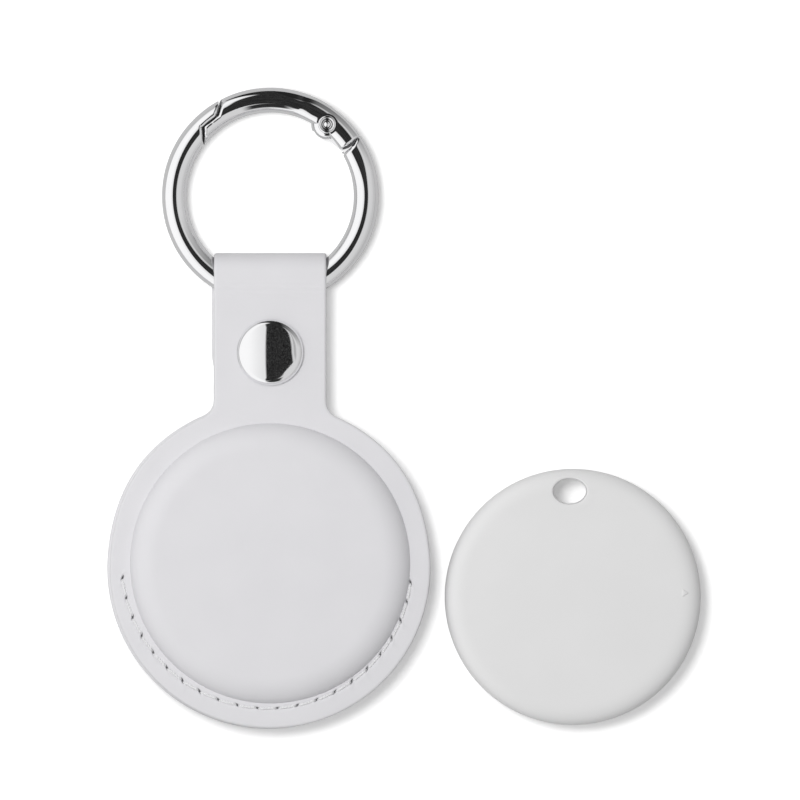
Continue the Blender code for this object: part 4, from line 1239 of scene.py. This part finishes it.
def leaningSector(shift, start, low, high):
    # the nose's faces lean, so that nobody sees through the gap from above
    lean = ring["noseLean"] * (high - low) / 2
    return prism(gateSector(shift - lean, start), low, high, gateSector(shift + lean, start))


def tailRoom(pin, distance, reach):
    normal = Vector((math.cos(ring["gateEnd"]), math.sin(ring["gateEnd"])))
    side = Vector((-normal.y, normal.x)) * reach
    cut, far = pin + normal * distance, pin + normal * (distance + reach)
    return [tuple(corner) for corner in (cut + side, cut - side, far - side, far + side)]


def makeRing():
    z, wire, fit, inCut = ring["centre"][2], ring["wire"], ring["fit"], ring["inCut"]
    low, high = z - wire - 2, z + wire + 2  # for cutters that pass right through
    under, above = z - wire - 0.1, z + wire + 0.1
    pin = Vector(ring["pin"])
    across = Vector((math.cos(ring["pinAngle"]), math.sin(ring["pinAngle"])))
    along = Vector((-across.y, across.x))
    reach = 2 * wire + ring["shoulderCut"]
    middle = ring["inner"] + wire

    # frame: open at the gate, with a hollow for the gate's eye and a tongue for its fork
    tilt = ring["noseLean"] * 0.8 * wire
    body = ringTorus("ringBody", [(noseLine(tilt), noseLine(-tilt))], [(pin, ring["shoulderCut"] - inCut)])
    # the walls of the gap at the nose get painted shade
    carve(body, leaningSector(0.0, ring["pinAngle"], low, high), shaded=True)
    carve(body, drum(ring["shoulderCut"], pin, under, above, 160, ring["shoulderFoot"]))
    rootOut, rootIn = (polar(middle + side * ring["tongueWidth"], ring["tongueRoot"]) for side in (1, -1))
    back = math.atan2(rootOut[1] - pin.y, rootOut[0] - pin.x)
    end = arc(pin, ring["tongueRadius"], back + math.pi / 2, back + 3 * math.pi / 2, 32)
    carve(body, prism([rootOut] + end + [rootIn], z - ring["tongueHalf"], z + ring["tongueHalf"]), "UNION")
    carve(body, drum(ring["pinRadius"] + fit, pin, low, high, 48))

    # gate: its nose, its cut tail, the eye with a slot for the tongue, and the seats of the rivet's heads
    tail, foot = ring["gateTail"], ring["tailFoot"]
    nose = (noseLine(ring["noseGap"] + tilt), noseLine(ring["noseGap"] - tilt))
    tailCut = tuple(tailRoom(pin, distance, reach)[:2] for distance in (tail - inCut, foot + inCut))
    gate = ringTorus("ringGate", [nose, tailCut], [])
    start = ring["pinAngle"] - ring["shoulderCut"] / middle
    # the gate's nose and tail walls get painted shade
    carve(gate, leaningSector(ring["noseGap"], start, low, high), "INTERSECT", shaded=True)
    carve(gate, prism(tailRoom(pin, foot, reach), under, above, tailRoom(pin, tail, reach)), shaded=True)
    radius, half = ring["eyeRadius"], ring["eyeHalf"]
    collar = [(0, -half)]
    for i in range(1, 24):
        a = math.pi / 2 * (i / 12 - 1)
        r = radius * math.cos(a)
        collar.append((r, math.copysign(half * math.sqrt(1 - (r / radius) ** 3.2), a)))
    collar.append((0, half))
    carve(gate, makeObject("cutter", turnedMesh("cutter", collar, (*pin, z), 96)), "UNION")
    slotHalf = ring["tongueHalf"] + fit
    first, side, deep = pin + along * ring["slotRelief"], across * reach, along * reach
    slot = [tuple(corner) for corner in (first + side, first - side, first - side - deep, first + side - deep)]
    carve(gate, prism(slot, z - slotHalf, z + slotHalf))
    carve(gate, drum(ring["tongueRadius"] + fit, pin, z - slotHalf, z + slotHalf))
    carve(gate, drum(ring["pinRadius"] + fit, pin, low, high, 48))
    seat = half - ring["spotDepth"]
    # the walls of the rivet seats get painted shade
    carve(gate, drum(ring["spotFace"], pin, z + seat, high), shaded=True)
    carve(gate, drum(ring["spotFace"], pin, low, z - seat), shaded=True)
    for piece, nodeName, bodyName in ((body, "ring_frame", "ring"), (gate, "ring_gate", "gate")):
        softenEdges(piece)
        settle(piece, "chrome", bodyName, nodeName)

    # rivet with two rolled heads
    head, radius, face = seat + fit, ring["pinRadius"], ring["headRadius"]
    upper = [(r, head + rise) for r, rise in ring["headProfile"]]
    upper += [(face - 0.02, head + 0.18), (face, head + 0.08), (face, head), (radius, head)]
    rivet = upper + [(r, -h) for r, h in reversed(upper)]
    turnedPiece("gateRivet", rivet, (*pin, z), 72, 50.0, "polishedChrome", "chrome", "ring", "gate_pin")


makeRing()
print("ring made")


# Tracker tag
tag = {
    "centre": (46.04, -4.44),
    "radius": 19.5,
    "thickness": 6.5,
    "edge": 3.3,
    "roundness": 2.6,
    "wall": 0.8,
    "half": 2.9,
    "hole": (-0.46, 16.1),
    "holeHalf": (2.53, 1.91),
    "lip": 0.32,
    "around": 192,
    "rings": 70,
    "mark": {"place": (63.15, -3.8), "length": 1.1, "width": 1.4, "foot": -0.05, "height": 0.08, "rows": 8},
}


def tagHeight(distance, inside):
    # height of a shell's face at a distance from the tag's middle, above its own flat face
    shrink = tag["wall"] if inside else 0.0
    radius = tag["radius"] - shrink
    share = np.clip((distance - (radius - tag["edge"])) / tag["edge"], 0, 1)
    return shrink + (tag["half"] - shrink) * (1 - (1 - share ** tag["roundness"]) ** (1 / tag["roundness"]))


def makeTagShell(name, node, body, upper):
    # grids from the key hole out to the edge, outside and inside, joined at the hole and the parting line
    count, lip, wall = tag["around"], tag["lip"], tag["wall"]
    middle = np.array(tag["centre"])
    hole = middle + np.array(tag["hole"])
    turns = np.linspace(0, 2 * np.pi, count, endpoint=False)
    spread = np.stack([np.cos(turns), np.sin(turns)], axis=1)
    points = []

    def addRing(xy, z):
        first = len(points)
        heights = np.broadcast_to(z, (count,))
        points.extend((x, y, tag["thickness"] - h if upper else h) for (x, y), h in zip(xy, heights))
        return list(range(first, first + count))

    def edgeAt(radius):
        # where each ray from the hole meets the circle
        toHole = hole - middle
        b = spread @ toHole
        reach = -b + np.sqrt(b**2 - toHole @ toHole + radius**2)
        return hole + spread * reach[:, None]

    def holeAt(grow):
        return hole + spread * (np.array(tag["holeHalf"]) + grow)

    def lay(grow, radius, inside):
        nearHole, rim = holeAt(grow), edgeAt(radius)
        found = []
        for i in range(tag["rings"] + 1):
            at = nearHole + (rim - nearHole) * (1 - (1 - i / tag["rings"]) ** 2)
            found.append((at, tagHeight(np.linalg.norm(at - middle, axis=1), inside)))
        return found

    outer = lay(lip, tag["radius"], False)
    inner = lay(wall, tag["radius"] - wall, True)
    rows = [(holeAt(0.0), tag["half"])]
    for i in range(7):
        a = math.radians(15 * i)
        rows.append((holeAt(lip * (1 - math.cos(a))), outer[0][1] + lip * (1 - math.sin(a))))
    rows += outer[1:] + inner[::-1] + [(holeAt(wall), tag["half"])]
    rows = [addRing(xy, z) for xy, z in rows]
    faces = [quad for pair in zip(rows, rows[1:] + rows[:1]) for quad in band(*pair)]
    piece = makeObject(name, meshFrom(name, points, faces, sharp=40.0), "satinShell")
    settle(piece, "tag_plastic", body, node)


def makeOpeningMark():
    # small raised arrow beside the edge where a coin pries the lid off
    mark, middle = tag["mark"], tag["centre"]
    count = mark["rows"]
    points, faces = [], []
    for level in (mark["foot"], mark["height"]):
        for i in range(count + 1):
            for j in range(i + 1):
                x = mark["place"][0] + mark["length"] * (0.5 - i / count)
                y = mark["place"][1] + mark["width"] * (j / count - i / count / 2)
                lift = 0.0 if level > 0 and (j in (0, i) or i == count) else level
                points.append((x, y, tag["thickness"] - float(tagHeight(math.dist((x, y), middle), False)) + lift))

    def at(i, j, level):
        return level * (len(points) // 2) + i * (i + 1) // 2 + j

    for level in (0, 1):
        for i in range(count):
            faces += [(at(i, j, level), at(i + 1, j, level), at(i + 1, j + 1, level)) for j in range(i + 1)]
            faces += [(at(i, j, level), at(i + 1, j + 1, level), at(i, j + 1, level)) for j in range(i)]
    rim = [(i, 0) for i in range(count)] + [(count, j) for j in range(count)]
    rim += [(i, i) for i in range(count, 0, -1)]
    faces += band([at(i, j, 0) for i, j in rim], [at(i, j, 1) for i, j in rim])
    piece = makeObject("openingMark", meshFrom("openingMark", points, faces, sharp=60.0), "satinShell")
    settle(piece, "tag_plastic", "cover")


makeTagShell("tagLid", "tag_cover", "cover", True)
makeTagShell("tagTray", "tag_base", "tag", False)
makeOpeningMark()
print("tag shells made")

# Inside the tag, seen once its lid is off; places are from the tag's middle
inside = {
    "board": {"radius": 16.5, "low": 1.0, "top": 1.6, "notch": (-0.46, 16.1), "notchHalf": (3.58, 2.96)},
    "cell": {"place": (0.0, -4.0), "low": 2.15, "high": 5.35, "radius": 10.0, "capRadius": 9.1},
    "sounder": {"place": (-8.0, 9.8), "radius": 3.6, "high": 3.6, "port": 0.5},
    "can": {"place": (7.5, 9.2), "size": (6.0, 5.0), "high": 3.2, "corner": 0.5, "edge": 0.22, "vent": 0.26},
    "antenna": {"place": (-0.46, 11.39), "size": (3.2, 1.2), "high": 2.6, "cap": 0.35},
    "leaf": {"half": 1.5, "thick": 0.14, "shift": -4.0, "path": (
        (-4.0, 1.6), (-2.6, 1.6), (-2.1, 1.63), (-0.5, 1.78), (1.5, 1.93), (2.7, 1.98), (3.3, 1.97), (3.7, 1.9),
        (4.0, 1.8))},
    "clip": {"half": 2.5, "thick": 0.2, "shift": 0.0, "path": (
        (-15.7, 1.6), (-15.0, 1.6), (-14.72, 1.63), (-14.55, 1.75), (-14.46, 2.0), (-14.3, 3.1), (-14.14, 3.8),
        (-14.13, 4.05), (-14.2, 4.3), (-14.42, 4.6))},
    "chips": ((0.4, 8.3, 3.0, 3.0, 0.8), (12.3, 2.6, 2.6, 3.0, 0.7), (-13.0, 2.6, 2.0, 2.0, 0.6)),
    "crystal": (3.25, 7.7, 1.7, 1.2, 0.45),
    "ceramic": {"body": (0.55, 0.5), "high": 0.42, "end": (0.24, 0.52), "endHigh": 0.44, "apart": 0.38},
    "pad": {"size": (1.3, 1.3), "high": 0.03, "corner": 0.64},
    "ceramics": ((-2.3, 7.6), (-2.3, 8.5), (-2.3, 9.4), (2.9, 9.2), (2.9, 10.0), (12.0, 5.3), (13.3, 5.3), (14.3, 0.2),
                 (14.3, -0.9), (14.2, -3.0), (-13.6, -0.6), (-13.6, -1.6), (-13.3, 5.3), (-12.0, 5.3), (-14.2, -3.6)),
    "pads": ((-12.6, -8.5), (-11.3, -10.6), (-9.7, -12.4), (11.8, -10.3), (12.9, -8.3), (10.3, -12.1)),
}


def aside(x, y):
    return tag["centre"][0] + x, tag["centre"][1] + y


def roundedOutline(x, y, length, width, corner):
    points = []
    for k, (sx, sy) in enumerate(((1, 1), (-1, 1), (-1, -1), (1, -1))):
        middle = (x + sx * (length / 2 - corner), y + sy * (width / 2 - corner))
        points += arc(middle, corner, k * math.pi / 2, (k + 1) * math.pi / 2, 6)
    return points


def softBox(store, place, size, low, high, corner, edge, kind=0):
    points, faces, kinds = store
    rows = []
    for inset, z in ((0, low), (0, high - edge), (0.3 * edge, high - 0.3 * edge), (edge, high)):
        outline = roundedOutline(*place, size[0] - 2 * inset, size[1] - 2 * inset, max(corner - inset, 0.01))
        rows.append(list(range(len(points), len(points) + len(outline))))
        points += [(x, y, z) for x, y in outline]
    for pair in zip(rows, rows[1:]):
        faces += band(*pair)
    faces += [tuple(rows[0]), tuple(rows[-1])]
    kinds += [kind] * (3 * len(rows[0]) + 2)


def storePiece(name, store, *finishes):
    points, faces, kinds = store
    mesh = meshFrom(name, points, faces, sharp=40.0)
    mesh.polygons.foreach_set("material_index", np.array(kinds, np.int32))
    return makeObject(name, mesh, *finishes)


def bentStrip(name, chosen, alongX):
    # a strip of spring metal that follows a path of (run, height)
    line = np.array(chosen["path"])
    fine = np.linspace(0, len(line) - 1, 6 * len(line))
    line = np.stack([np.interp(fine, range(len(line)), line[:, k]) for k in (0, 1)], axis=1)
    for _ in range(4):
        line[1:-1] = (line[:-2] + 2 * line[1:-1] + line[2:]) / 4
    along = np.gradient(line, axis=0)
    along /= np.linalg.norm(along, axis=1)[:, None]
    above = line + np.stack([-along[:, 1], along[:, 0]], axis=1) * chosen["thick"]
    points = []
    for lower, upper in zip(line, above):
        for side, (run, z) in ((-1, lower), (1, lower), (1, upper), (-1, upper)):
            across = side * chosen["half"] + chosen["shift"]
            points.append((*(aside(run, across) if alongX else aside(across, run)), z))
    rows = np.arange(len(points)).reshape(-1, 4).tolist()
    faces = [quad for pair in zip(rows, rows[1:]) for quad in band(*pair)] + [tuple(rows[0]), tuple(rows[-1])]
    return makeObject(name, meshFrom(name, points, faces, sharp=40.0), "springSteel")


def makeBoardDetails(top):
    store = ([], [], [])
    low = top - 0.02
    for x, y, length, width, tall in inside["chips"]:
        softBox(store, aside(x, y), (length, width), low, top + tall, 0.08, 0.06)
        for legs in ((length + 0.24, width - 0.5), (length - 0.5, width + 0.24)):
            softBox(store, aside(x, y), legs, low, top + 0.06, 0.02, 0.02, 1)
    x, y, length, width, tall = inside["crystal"]
    softBox(store, aside(x, y), (length, width), low, top + tall, 0.15, 0.06, 1)
    block, pad = inside["ceramic"], inside["pad"]
    for x, y in inside["ceramics"]:
        softBox(store, aside(x, y), block["body"], low, top + block["high"], 0.04, 0.04, 2)
        for side in (-block["apart"], block["apart"]):
            softBox(store, aside(x + side, y), block["end"], low, top + block["endHigh"], 0.05, 0.05, 1)
    for x, y in inside["pads"]:
        softBox(store, aside(x, y), pad["size"], low, top + pad["high"], pad["corner"], 0.02, 1)
    details = storePiece("boardDetails", store, "mouldedBlack", "springSteel", "ceramicTan")
    settle(details, "black_plastic", "tag")


def makeInside():
    board, cell, sounder, can, antenna = (inside[k] for k in ("board", "cell", "sounder", "can", "antenna"))
    low, top, radius = board["low"], board["top"], board["radius"]
    profile = [(0, low), (radius, low), (radius, top), (0, top)]
    piece = makeObject("tagBoard", turnedMesh("tagBoard", profile, (*tag["centre"], 0), 160), "boardMask")
    (x, y), (halfX, halfY) = board["notch"], board["notchHalf"]
    turns = np.linspace(0, 2 * math.pi, 64, endpoint=False)
    carve(piece, prism([aside(x + halfX * math.cos(a), y + halfY * math.sin(a)) for a in turns], low - 0.5, top + 0.5))
    smooth(piece.data, 35)
    settle(piece, "board", "tag", "circuit_board")

    low, high, radius, cap = cell["low"], cell["high"], cell["radius"], cell["capRadius"]
    profile = [(0, low), (cap - 0.5, low), (cap - 0.15, low + 0.05), (cap, low + 0.2), (cap, low + 0.47)]
    profile += [(radius - less, low + up) for less, up in ((0.55, 0.47), (0.25, 0.52), (0.08, 0.66), (0, 0.85))]
    profile += [(radius - less, high - down) for less, down in (
        (0, 0.25), (0.07, 0.09), (0.25, 0), (1.0, 0), (1.08, 0.035), (1.16, 0))] + [(0, high)]
    turnedPiece("coinCell", profile, (*aside(*cell["place"]), 0), 192, 25.0, "springSteel",
                "steel", "cell", "coin_cell")

    high, radius, port = sounder["high"], sounder["radius"], sounder["port"]
    profile = [(0, top), (radius - 0.1, top), (radius, top + 0.1)]
    profile += [(radius - less, high - down) for less, down in (
        (0, 0.25), (0.15, 0.05), (0.4, 0), (1.0, 0), (1.06, 0.07))]
    profile += [(port + 0.4, high - 0.07), (port + 0.34, high), (port, high), (port, high - 0.5), (0, high - 0.5)]
    turnedPiece("sounderCase", profile, (*aside(*sounder["place"]), 0), 96, 35.0, "mouldedBlack",
                "black_plastic", "tag", "sounder")

    store, vents, vent = ([], [], []), ([], [], []), can["vent"]
    softBox(store, aside(*can["place"]), can["size"], top, can["high"], can["corner"], can["edge"])
    for i in range(12):
        spot = aside(can["place"][0] + 1.3 * (i // 3 - 1.5), can["place"][1] + 1.3 * (i % 3 - 1))
        softBox(vents, spot, (2 * vent, 2 * vent), can["high"] - 0.12, can["high"] + 0.3, vent - 0.01, 0.02)
    piece = storePiece("shieldCover", store, "springSteel")
    carve(piece, storePiece("cutter", vents))
    smooth(piece.data, 40)
    settle(piece, "steel", "tag", "shield_can")

    store = ([], [], [])
    place, size, high, cap = aside(*antenna["place"]), antenna["size"], antenna["high"], antenna["cap"]
    softBox(store, place, (size[0] - 0.5, size[1] - 0.06), top, high - 0.03, 0.05, 0.05)
    for side in (-1, 1):
        end = (place[0] + side * (size[0] - cap) / 2, place[1])
        softBox(store, end, (cap, size[1]), top, high, 0.06, 0.06, 1)
    settle(storePiece("chipAntenna", store, "mouldedBlack", "springSteel"), "black_plastic", "tag", "antenna")

    makeBoardDetails(top)
    settle(bentStrip("cellLeaf", inside["leaf"], True), "steel", "tag", "negative_contact")
    settle(bentStrip("cellClip", inside["clip"], False), "steel", "tag", "positive_contact")


makeInside()
print("tag's inside made")

# CAD pieces that stay as they are
for nodeName, label in (("socket_spring", "springSteel"), ("gate_spring", "springSteel"), ("tag_seal", "sealRubber")):
    for place in nodes[nodeName].material_slots:
        place.material = finish[label]
print("carried pieces finished")
